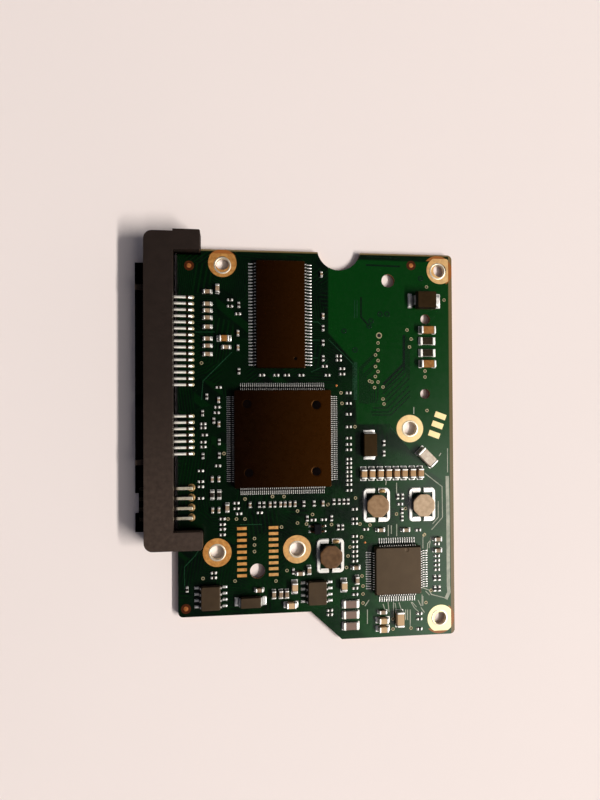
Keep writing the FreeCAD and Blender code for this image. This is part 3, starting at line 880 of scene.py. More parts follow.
# Finishes, colours as linear red, green and blue
TIN = Finish("tinned_metal", (0.78, 0.75, 0.69), (0.94, 0.91, 0.86), 0.5, (0.44, 0.54), metal=1.0,
             relief=0.002, steep_shade=0.85)
SOLDER = Finish("solder", (0.82, 0.79, 0.73), (0.95, 0.92, 0.87), 0.4, (0.36, 0.46), metal=1.0,
                grain_size=0.25, relief=0.002, steep_shade=0.8)
TERMINAL = Finish("bright_tin", (0.86, 0.82, 0.75), (0.95, 0.92, 0.86), 1.6, (0.46, 0.54), metal=1.0,
                  grain_size=0.6, relief=0.001, steep_shade=0.35)
FILLET = Finish("chip_solder", (0.80, 0.77, 0.71), (0.95, 0.92, 0.87), 0.4, (0.40, 0.50), metal=1.0,
                grain_size=0.25, relief=0.002, steep_shade=0.3)
FRAME_TIN = Finish("frame_tin", (0.84, 0.80, 0.73), (0.94, 0.91, 0.85), 1.2, (0.42, 0.50), metal=1.0,
                   grain_size=0.5, relief=0.002, steep_shade=0.85)
WIRE_SOLDER = Finish("browned_solder", (0.10, 0.05, 0.015), (0.40, 0.25, 0.09), 0.35, (0.4, 0.5), metal=0.4)
CONTACT = Finish("plated_contact", (0.88, 0.82, 0.70), (0.97, 0.93, 0.83), 1.2, (0.44, 0.52), metal=1.0,
                 grain=Grain.DRAWN, relief=0.001, steep_shade=0.85)
# Painted shade: the pins darken towards their ends at the housing.
POST = PaintedLightFinish("gilt_post", (0.78, 0.66, 0.46), (0.95, 0.88, 0.72), 0.8, (0.42, 0.50), metal=1.0,
                    relief=0.001, steep_shade=0.85, far=(0.04, 0.03, 0.02), axis=(-1.0, 0.0, 0.0), span=(7.5, 8.2))
# Dark metal for the contacts' bends and feet and for the array chip's leads.
DARK_METAL = Finish("dark_metal", (0.05, 0.022, 0.010), (0.10, 0.050, 0.025), 0.4, (0.4, 0.5), metal=1.0)
# Painted reflection: the gold turns cream towards the lower right.
GOLD = PaintedLightFinish("thin_gold", (0.55, 0.22, 0.045), (0.78, 0.38, 0.10), 0.7, (0.46, 0.54), metal=0.62,
                    far=(0.87, 0.78, 0.43))
PLATED_WALL = Finish("plated_wall", (0.74, 0.62, 0.44), (0.92, 0.83, 0.66), 0.4, (0.42, 0.52), metal=0.8,
                     relief=0.002)
COPPER = Finish("bare_copper", (0.36, 0.10, 0.02), (0.55, 0.19, 0.05), 0.4, (0.4, 0.5), metal=0.5)
BARE_RING = Finish("bare_laminate", (0.045, 0.01, 0.003), (0.075, 0.018, 0.005), 0.4, (0.3, 0.36), gloss=0.15)
RIM = Finish("plated_ring", (0.36, 0.29, 0.15), (0.56, 0.47, 0.28), 0.3, (0.35, 0.5), metal=0.4)
DARK_RING = Finish("covered_ring", (0.001, 0.012, 0.004), (0.002, 0.018, 0.006), 0.3, (0.24, 0.3), gloss=0.3)
# Painted shade: dark discs stand for the open bores of the vias.
BORE_SHADE = Finish("bore_painted_shade", (0.003, 0.003, 0.002), (0.008, 0.007, 0.005), 0.3, (0.5, 0.7), gloss=0.2)
TRACE = Finish("masked_copper", (0.003, 0.026, 0.008), (0.007, 0.044, 0.016), 1.2, (0.24, 0.3), gloss=0.4)
# Painted glint: traces under the mask coloured pale where light catches them.
GLINT_TRACE = Finish("trace_painted_glint", (0.28, 0.30, 0.22), (0.44, 0.44, 0.33), 1.2, (0.34, 0.44))
GAP = Finish("masked_gap", (0.0008, 0.006, 0.002), (0.001, 0.010, 0.003), 1.0, (0.24, 0.3), gloss=0.3)
# Painted sheen: the dark epoxy turns golden brown towards the right.
MOULD = PaintedLightFinish("dark_epoxy", (0.0014, 0.0003, 0.0002), (0.0026, 0.0005, 0.0003), 3.0, (0.26, 0.31),
                     grain=Grain.SPECK, grain_size=0.08, relief=0.001, gloss=0.24, tint=(1.0, 0.42, 0.13),
                     steep_shade=0.7, far=(0.033, 0.0095, 0.0005), axis=(1.0, 0.0, 0.0), span=(2.0, 33.0))
BLACK_MOULD = Finish("black_epoxy", (0.0012, 0.0012, 0.0022), (0.0022, 0.0022, 0.0034), 2.0, (0.3, 0.36),
                     gloss=0.2)
# Epoxy painted paler with sheen, for the packages on the lower part of the board.
SHEENED_MOULD = Finish("epoxy_painted_sheen", (0.036, 0.022, 0.012), (0.048, 0.030, 0.016), 3.0, (0.38, 0.44),
                    grain=Grain.SPECK, grain_size=0.05, tint=(1.0, 0.75, 0.5), steep_shade=0.6)
DIODE_MOULD = Finish("brown_epoxy", (0.008, 0.004, 0.0015), (0.014, 0.007, 0.0028), 2.0, (0.34, 0.4),
                     grain=Grain.SPECK, grain_size=0.05, gloss=0.4, tint=(1.0, 0.6, 0.25), steep_shade=0.6)
POLISHED = Finish("polished_mark", (0.0015, 0.0006, 0.0005), (0.003, 0.001, 0.0008), 1.0, (0.2, 0.26),
                  relief=0.001, gloss=0.12)
# The connector's plastic, with painted sheen towards its lower end and painted shade in its recesses.
SHELL_PLASTIC = PaintedLightPlastic("filled_plastic", (0.003, 0.0016, 0.0012), (0.006, 0.0036, 0.0028), 1.6,
                            (0.54, 0.62), grain=Grain.SPECK, grain_size=0.12, relief=0.004, gloss=0.52,
                            tint=(1.0, 0.72, 0.58))
FERRITE = Finish("dark_ferrite", (0.020, 0.014, 0.010), (0.045, 0.032, 0.022), 0.9, (0.5, 0.65),
                 grain=Grain.SPECK, relief=0.01)
# One top coat, painted paler with sheen on each inductor further from the connector.
COATS = tuple(
    Finish(name, deep, fair, 0.9, (0.4, 0.5), grain=Grain.SPECK, relief=0.006, gloss=0.2)
    for name, deep, fair in (
        ("coat_faint_painted_sheen", (0.10, 0.048, 0.018), (0.15, 0.075, 0.030)),
        ("coat_painted_sheen", (0.26, 0.15, 0.070), (0.35, 0.21, 0.105)),
        ("coat_strong_painted_sheen", (0.48, 0.33, 0.20), (0.60, 0.43, 0.27)),
    )
)
WIRE = Finish("enamelled_wire", (0.16, 0.045, 0.015), (0.30, 0.10, 0.035), 0.4, (0.25, 0.4), metal=0.6)
# Painted light: the ceramic turns paler towards the lower edge of the board.
TAN_CERAMIC = PaintedLightFinish("tan_ceramic", (0.24, 0.095, 0.02), (0.35, 0.155, 0.036), 0.5, (0.4, 0.55),
                           grain=Grain.SPECK, grain_size=0.06, gloss=0.15,
                           far=(0.58, 0.385, 0.205), axis=(0.0, -1.0, 0.0), span=(-34.0, 2.0))
BROWN_CERAMIC = Finish("brown_ceramic", (0.20, 0.125, 0.065), (0.36, 0.25, 0.155), 0.7, (0.4, 0.55))
ALUMINA = Finish("white_alumina", (0.42, 0.38, 0.32), (0.58, 0.53, 0.46), 0.4, (0.5, 0.65))
# Painted sheen: the glaze turns paler towards the lower edge of the board.
BROWN_GLAZE = PaintedLightFinish("brown_glaze", (0.016, 0.010, 0.003), (0.030, 0.020, 0.007), 0.5, (0.34, 0.45),
                           gloss=0.12, far=(0.24, 0.16, 0.125), axis=(0.0, -1.0, 0.0), span=(-10.0, 10.0))
GLAZE = Finish("dark_glaze", (0.010, 0.006, 0.004), (0.026, 0.016, 0.010), 0.3, (0.25, 0.4))
SENSOR = Finish("white_sensor", (0.58, 0.46, 0.34), (0.74, 0.64, 0.50), 0.8, (0.4, 0.55))


def add_piece(name: str, shell: Shell, finish: Finish, replaced: tuple[str, ...] = (),
              shading: Shading = Shading.EDGED) -> bpy.types.Object:
    """Puts a shell into the scene as one piece of the part.

    Args:
        name: Name of the piece.
        shell: Its mesh in millimetres.
        finish: Its finish.
        replaced: Nodes of the frame that it stands for.
        shading: How it is shaded.

    Returns:
        The new object.
    """
    mesh = bpy.data.meshes.new(name)
    faces = [row for face in shell.faces for row in face.tolist()]
    mesh.from_pydata((shell.points * MM).tolist(), [], faces)
    return settle(put(name, mesh), finish, replaced, shading)


def settle(piece: bpy.types.Object, finish: Finish, replaced: tuple[str, ...],
           shading: Shading) -> bpy.types.Object:
    """Shades a piece, dresses it and ties it to the frame.

    On an edged piece, the faces that look straight along an axis are shaded flat.

    Args:
        piece: The object.
        finish: Its finish.
        replaced: Nodes of the frame that it stands for.
        shading: How it is shaded.

    Returns:
        The same object.
    """
    mesh = piece.data
    mark_steep(mesh)
    mesh.polygons.foreach_set("use_smooth", np.ones(len(mesh.polygons), bool))
    mesh.set_sharp_from_angle(angle=math.radians(shading.value))
    if shading is Shading.EDGED:
        mesh.polygons.foreach_set("use_smooth", np.abs(face_normals(mesh)).max(axis=1) <= 0.999)
    mesh.materials.clear()
    mesh.materials.append(finish.material())
    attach(piece, BODY)
    if replaced:
        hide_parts(*replaced)
    LOG.info("%s: %d faces, %s", piece.name, len(mesh.polygons), finish.name)
    return piece


def mark_steep(mesh: bpy.types.Mesh) -> None:
    """Gives each face a number: 0 where it is nearly level, rising to 1 where it leans by 44 degrees or more.

    Args:
        mesh: The mesh.
    """
    level, steep = 0.92, 0.72
    upright = np.abs(face_normals(mesh)[:, 2])
    share = np.clip((level - upright) / (level - steep), 0, 1)
    mesh.attributes.new(STEEP, "FLOAT", "FACE").data.foreach_set("value", share.astype(np.float32))


def dress(node: str, finish: Finish) -> None:
    """Gives a node of the frame a finish.

    Args:
        node: Name of the node.
        finish: The finish.
    """
    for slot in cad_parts[node].material_slots:
        slot.material = finish.material()
    LOG.info("%s: node of the frame, %s", node, finish.name)


def softened(name: str, node: str, finish: Finish, radius: float) -> bpy.types.Object:
    """A node's shape with its edges rounded: its triangles are merged into whole faces first.

    Args:
        name: Name of the piece.
        node: Node of the frame that it stands for.
        finish: Its finish.
        radius: Size of the rounding in millimetres.

    Returns:
        The new object.
    """
    mesh = bpy.data.meshes.new(name)
    work = bmesh.new()
    work.from_mesh(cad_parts[node].data)
    bmesh.ops.remove_doubles(work, verts=work.verts, dist=0.001 * MM)
    bmesh.ops.dissolve_limit(work, angle_limit=math.radians(1), verts=work.verts, edges=work.edges)
    sharp = math.radians(Shading.EDGED.value)
    edges = [edge for edge in work.edges if edge.calc_face_angle(0) > sharp]
    bmesh.ops.bevel(work, geom=edges, offset=radius * MM, segments=2, profile=0.5, affect="EDGES",
                    clamp_overlap=True)
    work.to_mesh(mesh)
    work.free()
    if mesh.has_custom_normals:
        mesh.attributes.remove(mesh.attributes["custom_normal"])
    points = np.clip(mesh_points(mesh), *(node_box(node) * MM))
    mesh.vertices.foreach_set("co", points.astype(np.float32).ravel())
    return settle(put(name, mesh), finish, (node,), Shading.EDGED)


@dataclass(frozen=True)
class PhotoCamera:
    """The camera that took the photograph, in the part's frame.

    Attributes:
        place: Place of the lens in millimetres.
        tilt: Turns about X, Y and Z in degrees.
        lens: Focal length in millimetres.
        sensor: Long side of the sensor in millimetres.
        image: Width and height of the image in pixels.
    """

    place: Triple = (2.336, 29.309, 124.460)
    tilt: Triple = (-0.791, 6.817, 0.310)
    lens: float = 27.0
    sensor: float = 36.0
    image: Pixel = (600.0, 800.0)

    def turn(self) -> Matrix:
        """Rotation from the part's frame into the camera's, the three turns one after the other."""
        angles = map(math.radians, self.tilt)
        x, y, z = (Matrix.Rotation(angle, 3, axis) for angle, axis in zip(angles, "XYZ"))
        return x @ y @ z

    def on_level(self, pixels: list[Pixel], height: float) -> np.ndarray:
        """Follows the sight lines of pixels down to a level.

        Args:
            pixels: Places in the image, from its upper left corner.
            height: Level above the part's origin, in millimetres.

        Returns:
            Points of the plan, two coordinates each, in millimetres.
        """
        focal = self.lens / self.sensor * self.image[1]
        offset = np.array(pixels, float) - np.array(self.image) / 2
        sight = np.column_stack([offset[:, 0], -offset[:, 1], np.full(len(offset), -focal)])
        sight = sight @ np.array(self.turn())
        reach = (height - self.place[2]) / sight[:, 2:]
        return (np.array(self.place) + sight * reach)[:, :2]

    def make(self) -> None:
        """Adds the camera to the scene."""
        data = bpy.data.cameras.new("photo_camera")
        data.lens, data.sensor_width = self.lens, self.sensor
        data.clip_start, data.clip_end = 0.001, 20.0
        camera = put("photo_camera", data)
        camera.matrix_world = Matrix.Translation(Vector(self.place) * MM) @ self.turn().transposed().to_4x4()
        bpy.context.scene.camera = camera


CAMERA = PhotoCamera()


@dataclass(frozen=True)
class Panel:
    """A rectangular lamp that faces the part.

    Attributes:
        name: Name of the lamp.
        direction: Direction of the lamp from the part.
        distance: Its distance in metres.
        width: Its size across, in metres.
        length: Its size along the board's longer side, in metres.
        level: Its light on a level surface at the part, where 1 in all shows a colour as it is written.
        colour: Its colour.
    """

    name: str
    direction: Triple
    distance: float
    width: float
    length: float
    level: float
    colour: Colour

    def make(self) -> None:
        """Adds the lamp, its length turned along Y as far as its direction lets it.

        Its power is the level times the square of pi times the distance, divided by the slant of the light.
        """
        away = np.array(self.direction) / np.linalg.norm(self.direction)
        along = np.array([0.0, 1.0, 0.0]) - away[1] * away
        along /= np.linalg.norm(along)
        data = bpy.data.lights.new(self.name, "AREA")
        data.shape = "RECTANGLE"
        data.size, data.size_y = self.width, self.length
        data.energy = self.level * (math.pi * self.distance) ** 2 / away[2]
        data.color = self.colour
        axes = np.eye(4)
        axes[:3, :3] = np.column_stack([np.cross(along, away), along, away])
        axes[:3, 3] = np.mean(CAD_BOX, axis=0) + away * self.distance
        lamp = put(self.name, data)
        lamp.matrix_world = Matrix(axes.tolist())
        lamp.visible_camera = False


@dataclass
class Studio:
    """A pale floor that rises into a wall far out, a long narrow lamp, a soft panel and weak light all round.

    Attributes:
        floor_colour: Colour of the floor.
        flat_reach: Radius of the flat part of the floor, in metres.
        wall_reach: Radius of the wall, in metres.
        wall_height: Height of the wall, in metres.
        clearance: Gap between the floor and the far edge of the board, in millimetres.
        lamps: The lamps.
        sky: Strength of the light from all round, at the horizon and overhead.
        sky_colour: Its colour.
    """

    floor_colour: Colour = (0.90, 0.80, 0.75)
    flat_reach: float = 1.6
    wall_reach: float = 3.0
    wall_height: float = 0.8
    clearance: float = 0.05
    lamps: tuple[Panel, ...] = (
        Panel("key_strip", (0.69, -0.27, 0.67), 3.0, 0.15, 1.9, 0.78, (1.0, 0.97, 0.94)),
        Panel("fill_panel", (0.5, -0.3, 0.81), 2.0, 1.0, 1.0, 0.13, (1.0, 0.97, 0.94)),
    )
    sky: Pair = (0.19, 0.012)
    sky_colour: Colour = (0.90, 0.96, 1.25)

    def floor(self) -> None:
        """A round floor: flat, tilted to meet the connector and the board's far edge, then rising outwards.

        The height over the flat part is the square of the way beyond its rim, scaled to the wall's height.
        """
        radii = np.concatenate([np.linspace(0.001, 0.2, 5), np.linspace(0.3, self.wall_reach, 30)])[:, None]
        housing, board = node_box("connector_housing"), node_box("bare_board")
        rise = (board[0, 2] - self.clearance - housing[0, 2]) / (board[1, 0] - board[0, 0])
        turn = np.linspace(0, 2 * math.pi, 96, endpoint=False)[None]
        x, y = radii * np.cos(turn), radii * np.sin(turn)
        beyond = np.clip((radii - self.flat_reach) / (self.wall_reach - self.flat_reach), 0, 1)
        z = (housing[0, 2] - board[0, 0] * rise) * MM + x * rise + self.wall_height * beyond ** 2
        number = np.arange(x.size).reshape(x.shape)
        beside = np.roll(number, -1, axis=1)
        quads = np.stack([number[:-1], number[1:], beside[1:], beside[:-1]], axis=-1).reshape(-1, 4)
        mesh = bpy.data.meshes.new("floor")
        points = np.stack([x, y, z], axis=-1).reshape(-1, 3)
        mesh.from_pydata(points.tolist(), [], [number[0].tolist()] + quads.tolist())
        mesh.polygons.foreach_set("use_smooth", np.ones(len(mesh.polygons), bool))
        graph = Graph("pale_floor")
        shades = graph.smooth(graph.noise(120.0, 2.0), 0.3, 0.7)
        paler = tuple(min(1.0, part * 1.02) for part in self.floor_colour)
        graph.feed(graph.shader.inputs["Base Color"], graph.mix(shades, self.floor_colour, paler))
        graph.shader.inputs["Roughness"].default_value = 0.9
        graph.shader.inputs["Specular IOR Level"].default_value = 0.1
        mesh.materials.append(graph.material)
        put("floor", mesh)

    def surround(self) -> None:
        """Weak light from all round, stronger towards the horizon."""
        world = bpy.data.worlds.new("surround")
        world.use_nodes = True
        nodes, links = world.node_tree.nodes, world.node_tree.links
        place = nodes.new("ShaderNodeTexCoord")
        parts = nodes.new("ShaderNodeSeparateXYZ")
        level = nodes.new("ShaderNodeMapRange")
        links.new(place.outputs["Generated"], parts.inputs[0])
        links.new(parts.outputs["Z"], level.inputs["Value"])
        level.inputs["From Min"].default_value = 0.4
        level.inputs["To Min"].default_value, level.inputs["To Max"].default_value = self.sky
        background = nodes["Background"]
        background.inputs["Color"].default_value = (*self.sky_colour, 1.0)
        links.new(level.outputs["Result"], background.inputs["Strength"])
        bpy.context.scene.world = world

    def make(self) -> None:
        """Sets up floor, lamps, surrounding light and colour handling."""
        self.floor()
        for lamp in self.lamps:
            lamp.make()
        self.surround()
        bpy.context.scene.view_settings.view_transform = "Standard"


def foot_joint(start: float, tip: float, end: float, half: float, sheet: float) -> Shell:
    """Pad and solder under a flat foot that points along X: the drop is highest just beyond the tip.

    Args:
        start: Near end of the pad.
        tip: End of the foot.
        end: Far end of the pad.
        half: Half of the pad's width.
        sheet: Thickness of the foot.

    Returns:
        A shell that stands on the board.
    """
    pad = stacked(end - start, 2 * half, 0.04, [(0, 0), (0.03, 0), (0.04, 0.01)])
    place = np.array([start + 0.03, start + 0.15, tip - 0.05, tip + 0.03, (tip + 2 * end) / 3, end - 0.02])
    high = np.array([0.05, 0.6, 0.75, 0.9, 0.45, 0.05]) * sheet + 0.04
    wide = np.array([0.7, 0.95, 1.0, 1.0, 0.95, 0.7]) * half
    return Shell.joined([pad.moved((start + end) / 2, 0, 0), mound(np.column_stack([place, wide, high]))])


@dataclass
class Package:
    """A moulded package: case, formed leads, pads and solder.

    Attributes:
        name: Name of the package in the frame.
        foot: Length of a lead's flat foot.
        pad_beyond: Reach of the pads beyond the lead tips.
        pad_side: Reach of the pads beside the leads.
        finish: Finish of the case.
        sheet: Thickness of the leads.
        shoulder: Length of a lead's level run out of the case.
        corner: Radius of the case's corners.
        draft: Inset of the case's top from its middle band.
        dimples: Ejector marks: pixel in the photograph, radius and depth.
        polished: True where the marks have smooth floors.
        plating: Finish of the leads.
    """

    name: str
    foot: float
    pad_beyond: float = 0.4
    pad_side: float = 0.03
    finish: Finish = MOULD
    sheet: float = 0.15
    shoulder: float = 0.2
    corner: float = 0.3
    draft: float = 0.15
    dimples: tuple[tuple[float, float, float, float], ...] = ()
    polished: bool = True
    plating: Finish = TIN

    def grid_lines(self, half: float, centres: np.ndarray, radii: np.ndarray) -> np.ndarray:
        """Grid lines across the case's top, denser over the dimples and the corners.

        Args:
            half: Half of the top's size.
            centres: Places of the dimples on this axis.
            radii: Their radii.

        Returns:
            Places of the lines in order.
        """
        dense = (centres[:, None] + radii[:, None] * np.linspace(-1.15, 1.15, 17)).ravel()
        edge = half - self.corner * np.linspace(0, 1, 4)
        lines = np.concatenate([np.linspace(-half, half, 7), dense, edge, -edge])
        return np.unique(lines.round(4))

    def case(self) -> Shell:
        """The moulded case: a top that dips at its dimples, drafted flanks and a band at the leads.

        In a dimple the top sinks by its depth, with a smooth step over the outer fifth of its radius. In each
        corner the grid is drawn from a square into a quarter disc.

        Returns:
            A closed shell in the part's frame.
        """
        low, high = node_box(f"{self.name}_body")
        half = (high - low)[:2] / 2 - self.draft
        marks = self.marks()
        x, y = np.meshgrid(self.grid_lines(half[0], marks[:, 0], marks[:, 2]),
                           self.grid_lines(half[1], marks[:, 1], marks[:, 2]))
        away = np.hypot(x[..., None] - marks[:, 0], y[..., None] - marks[:, 1]) / marks[:, 2]
        step = np.clip((1 - away) / 0.2, 0, 1)
        sink = np.sum(marks[:, 3] * step * step * (3 - 2 * step), axis=-1)
        past = [np.clip((np.abs(v) - h) / self.corner + 1, 0, 1) for v, h in zip((x, y), half)]
        shrink = [past[i] * np.sqrt(1 - past[1 - i] ** 2 / 2) - past[i] for i in (0, 1)]
        x, y = (v + np.sign(v) * s * self.corner for v, s in zip((x, y), shrink))
        top = np.stack([x, y, high[2] - sink], axis=-1)
        number = np.arange(x.size).reshape(x.shape)
        quads = np.stack([number[:-1, :-1], number[:-1, 1:], number[1:, 1:], number[1:, :-1]], axis=-1)
        border = np.concatenate([number[0, :-1], number[:-1, -1], number[-1, :0:-1], number[:0:-1, 0]])
        rim = top.reshape(-1, 3)[border]
        middle = (low[2] + high[2]) / 2
        levels = ((high[2] - 0.02, 0.035), (high[2] - 0.07, 0.05), (middle + 0.08, self.draft),
                  (middle + 0.07, self.draft + 0.02), (middle - 0.07, self.draft + 0.02),
                  (middle - 0.08, self.draft), (low[2] + 0.03, 0.02), (low[2], 0.0))
        grow = np.array([level[1] for level in levels])[:, None, None]
        flanks = np.empty((len(levels), len(rim), 3))
        flanks[..., :2] = rim[None, :, :2] * (1 + grow / half)
        flanks[..., 2] = np.array([level[0] for level in levels])[:, None]
        sides = loft(np.concatenate([rim[None], flanks]))
        inner = np.concatenate([border, x.size + np.arange(len(rim) * len(levels))])
        faces = [quads.reshape(-1, 4), inner[sides.faces[0]], inner[sides.faces[2]]]
        shell = Shell(np.concatenate([top.reshape(-1, 3), flanks.reshape(-1, 3)]), faces)
        self.face_the_same_way(shell, high[2])
        return shell.moved(*((low + high) / 2)[:2], 0).outward()

    def marks(self) -> np.ndarray:
        """The ejector marks about the case's axis.

        Returns:
            Rows of X, Y, radius and depth.
        """
        low, high = node_box(f"{self.name}_body")
        marks = np.array(self.dimples).reshape(-1, 4)
        if len(marks):
            marks[:, :2] = CAMERA.on_level(marks[:, :2], high[2]) - (low + high)[:2] / 2
        return marks

    def polished_discs(self) -> Shell:
        """The smooth floors of the ejector marks: flat discs as wide as the level part of each mark.

        Returns:
            One shell that holds all discs.
        """
        low, high = node_box(f"{self.name}_body")
        discs = []
        for x, y, radius, depth in self.marks():
            level = high[2] - depth
            reach = radius * 0.86
            profile = np.array([(reach, level - 0.01), (reach, level + 0.004), (reach * 0.5, level + 0.006)])
            discs.append(revolved(profile, 28).moved(*((low + high) / 2)[:2], 0).moved(x, y, 0))
        return Shell.joined(discs)

    def face_the_same_way(self, shell: Shell, top: float) -> None:
        """Turns the flanks' or the foot's faces round where they run against those of the top.

        Args:
            shell: The case about its own axis.
            top: Height of the top.
        """
        for number, face in enumerate(shell.faces):
            corners = shell.points[face]
            normal = np.cross(corners[:, 1] - corners[:, 0], corners[:, 2] - corners[:, 0])
            out = corners.mean(axis=1) - np.array([0, 0, top - 0.5])
            if np.sum(normal * out) < 0:
                shell.faces[number] = face[:, ::-1]

    def make(self) -> None:
        """Builds the package's pieces."""
        case_node = f"{self.name}_body"
        add_piece(f"{self.name}_case", self.case(), self.finish, (case_node,), Shading.MOULDED)
        if self.dimples and self.polished:
            add_piece(f"{self.name}_marks", self.polished_discs(), POLISHED)
        boxes = solid_boxes(f"{self.name}_leads")
        body = node_box(case_node)
        centre, size = boxes.mean(axis=1), boxes[:, 1] - boxes[:, 0]
        away = (centre - body.mean(axis=0)) / (body[1] - body[0])
        axis = np.argmax(np.abs(away[:, :2]), axis=1)
        row = np.arange(len(boxes))
        outward = np.zeros_like(centre)
        outward[row, axis] = np.sign(away[row, axis])
        reach, width = float(size[0, axis[0]]), float(size[0, 1 - axis[0]])
        root = centre - outward * reach / 2
        root[:, 2] = boxes[:, 0, 2]
        axes = plan_axes(outward)
        pins = self.lead(reach, width, size[0, 2]).scattered(root, axes)
        add_piece(f"{self.name}_pins", pins, self.plating, (f"{self.name}_leads",))
        joints = self.joint(reach, width).scattered(root, axes)
        add_piece(f"{self.name}_joints", joints, SOLDER)

    def lead(self, reach: float, width: float, height: float) -> Shell:
        """One formed lead: level out of the case, down in half a cosine wave, then a level foot.

        Args:
            reach: Length from the case to the tip.
            width: Width of the lead.
            height: Height of its level run's top above the board.

        Returns:
            A shell with its root at the origin, running along X.
        """
        fall = height - self.sheet
        line = np.vstack([[0, fall], falling(self.shoulder, reach - self.foot, fall, 7), [reach, 0]])
        return formed_strip(line + [0, self.sheet / 2], width, self.sheet * 0.98)

    def joint(self, reach: float, width: float) -> Shell:
        """Pad and solder of one lead: a tinned pad, and a drop that runs up the tip and along the foot.

        Args:
            reach: Length from the case to the lead's tip.
            width: Width of the lead.

        Returns:
            A shell with the lead's root at the origin.
        """
        start, end = reach - self.foot + 0.02, reach + self.pad_beyond
        return foot_joint(start, reach, end, width / 2 + self.pad_side, self.sheet)


@dataclass
class ChipFamily:
    """All two-ended chips of one size: bodies, metal ends, pads and solder.

    Attributes:
        kind: Name of the family in the frame.
        length: Length over the ends.
        width: Width.
        height: Height.
        end: Length of a metal end.
        finish: Finish of the bodies.
        slot: Material slot of the bodies; not used.
        glazed: True for a resistor, whose white body carries a dark glaze.
        nodes: The frame's nodes for bodies and ends, where they aren't named for the kind.
        pad_beyond: Reach of the pads beyond the ends.
    """

    kind: str
    length: float
    width: float
    height: float
    end: float
    finish: Finish
    slot: str
    glazed: bool = False
    nodes: tuple[str, str] = ("", "")
    pad_beyond: float = 0.25

    def places(self) -> tuple[np.ndarray, np.ndarray]:
        """Centres and axes of the chips: each body's axis runs between the two metal ends nearest to it.

        Returns:
            Feet of the chips' centres, and one matrix of axes for each.
        """
        body, end = self.nodes
        middle = solid_boxes(body).mean(axis=1)
        caps = solid_boxes(end).mean(axis=1)
        gap = np.linalg.norm(middle[:, None] - caps[None], axis=-1)
        pair = caps[np.argsort(gap, axis=1)[:, :2]]
        run = pair[:, 1] - pair[:, 0]
        run[:, 2] = 0
        outward = run / np.linalg.norm(run, axis=1, keepdims=True)
        foot = middle.copy()
        foot[:, 2] = solid_boxes(body)[:, 0, 2]
        return foot, plan_axes(outward)

    def block(self, length: float, width: float, low: float, high: float, soft: float) -> Shell:
        """A block with softened edges, its centre on the Z axis.

        Args:
            length: Size along X.
            width: Size along Y.
            low: Height of its foot.
            high: Height of its top.
            soft: Rounding of its edges.

        Returns:
            A closed shell.
        """
        foot = [(low, soft * 0.6), (low + soft * 0.6, 0)]
        head = [(high - soft, 0), (high - soft * 0.3, soft * 0.3), (high, soft)]
        return stacked(length, width, soft, foot + head)

    def make(self) -> None:
        """Builds the family's pieces."""
        if not self.nodes[0]:
            self.nodes = (f"{self.kind}_bodies", f"{self.kind}_ends")
        places, axes = self.places()
        soft = 0.12 * min(self.width, self.height)
        seat = 0.03
        # The core runs into each end by a fifth of its length, and the glaze stops just short of the ends.
        core_length, glaze_length = self.length - 1.6 * self.end, self.length - 2.1 * self.end
        core_width, glaze_width = self.width * 0.96, self.width * 0.92
        top = self.height * (0.9 if self.glazed else 0.97)
        core = self.block(core_length, core_width, seat, top, soft)
        under = ALUMINA if self.glazed else self.finish
        add_piece(f"{self.kind}_cores", core.scattered(places, axes), under, (self.nodes[0],))
        if self.glazed:
            coat = self.block(glaze_length, glaze_width, top - 0.01, self.height, 0.03)
            add_piece(f"{self.kind}_glaze", coat.scattered(places, axes), self.finish)
        cap = self.block(self.end, self.width, seat, self.height, soft)
        shift = (self.length - self.end) / 2
        caps = Shell.joined([cap.moved(shift, 0, 0), cap.moved(-shift, 0, 0)]).scattered(places, axes)
        add_piece(f"{self.kind}_caps", caps, TERMINAL, (self.nodes[1],))
        joint = self.joint()
        other = joint.scattered(np.zeros((1, 3)), plan_axes(np.array([[-1.0, 0.0, 0.0]])))
        both = Shell.joined([joint, other])
        add_piece(f"{self.kind}_joints", both.scattered(places, axes), FILLET)

    def joint(self) -> Shell:
        """Pad and solder of the end that points along X: the solder grows with the square of the way in.

        Returns:
            A closed shell.
        """
        tip = self.length / 2
        reach = tip + self.pad_beyond
        start = tip - self.end * 1.15
        pad_width = self.width * 1.06
        pad = stacked(reach - start, pad_width, 0.06, [(0, 0), (0.025, 0), (0.035, 0.01)])
        pad = pad.moved((reach + start) / 2, 0, 0)
        share = np.array([0.0, 0.3, 0.6, 0.85, 1.0])
        film, climb = 0.04, self.height * 0.72
        place = reach - 0.02 - share * (self.pad_beyond - 0.01)
        high = film + (climb - film) * share ** 2
        wide = self.width * (0.40 + 0.08 * np.sqrt(share))
        return Shell.joined([pad, mound(np.column_stack([place, wide, high]))])


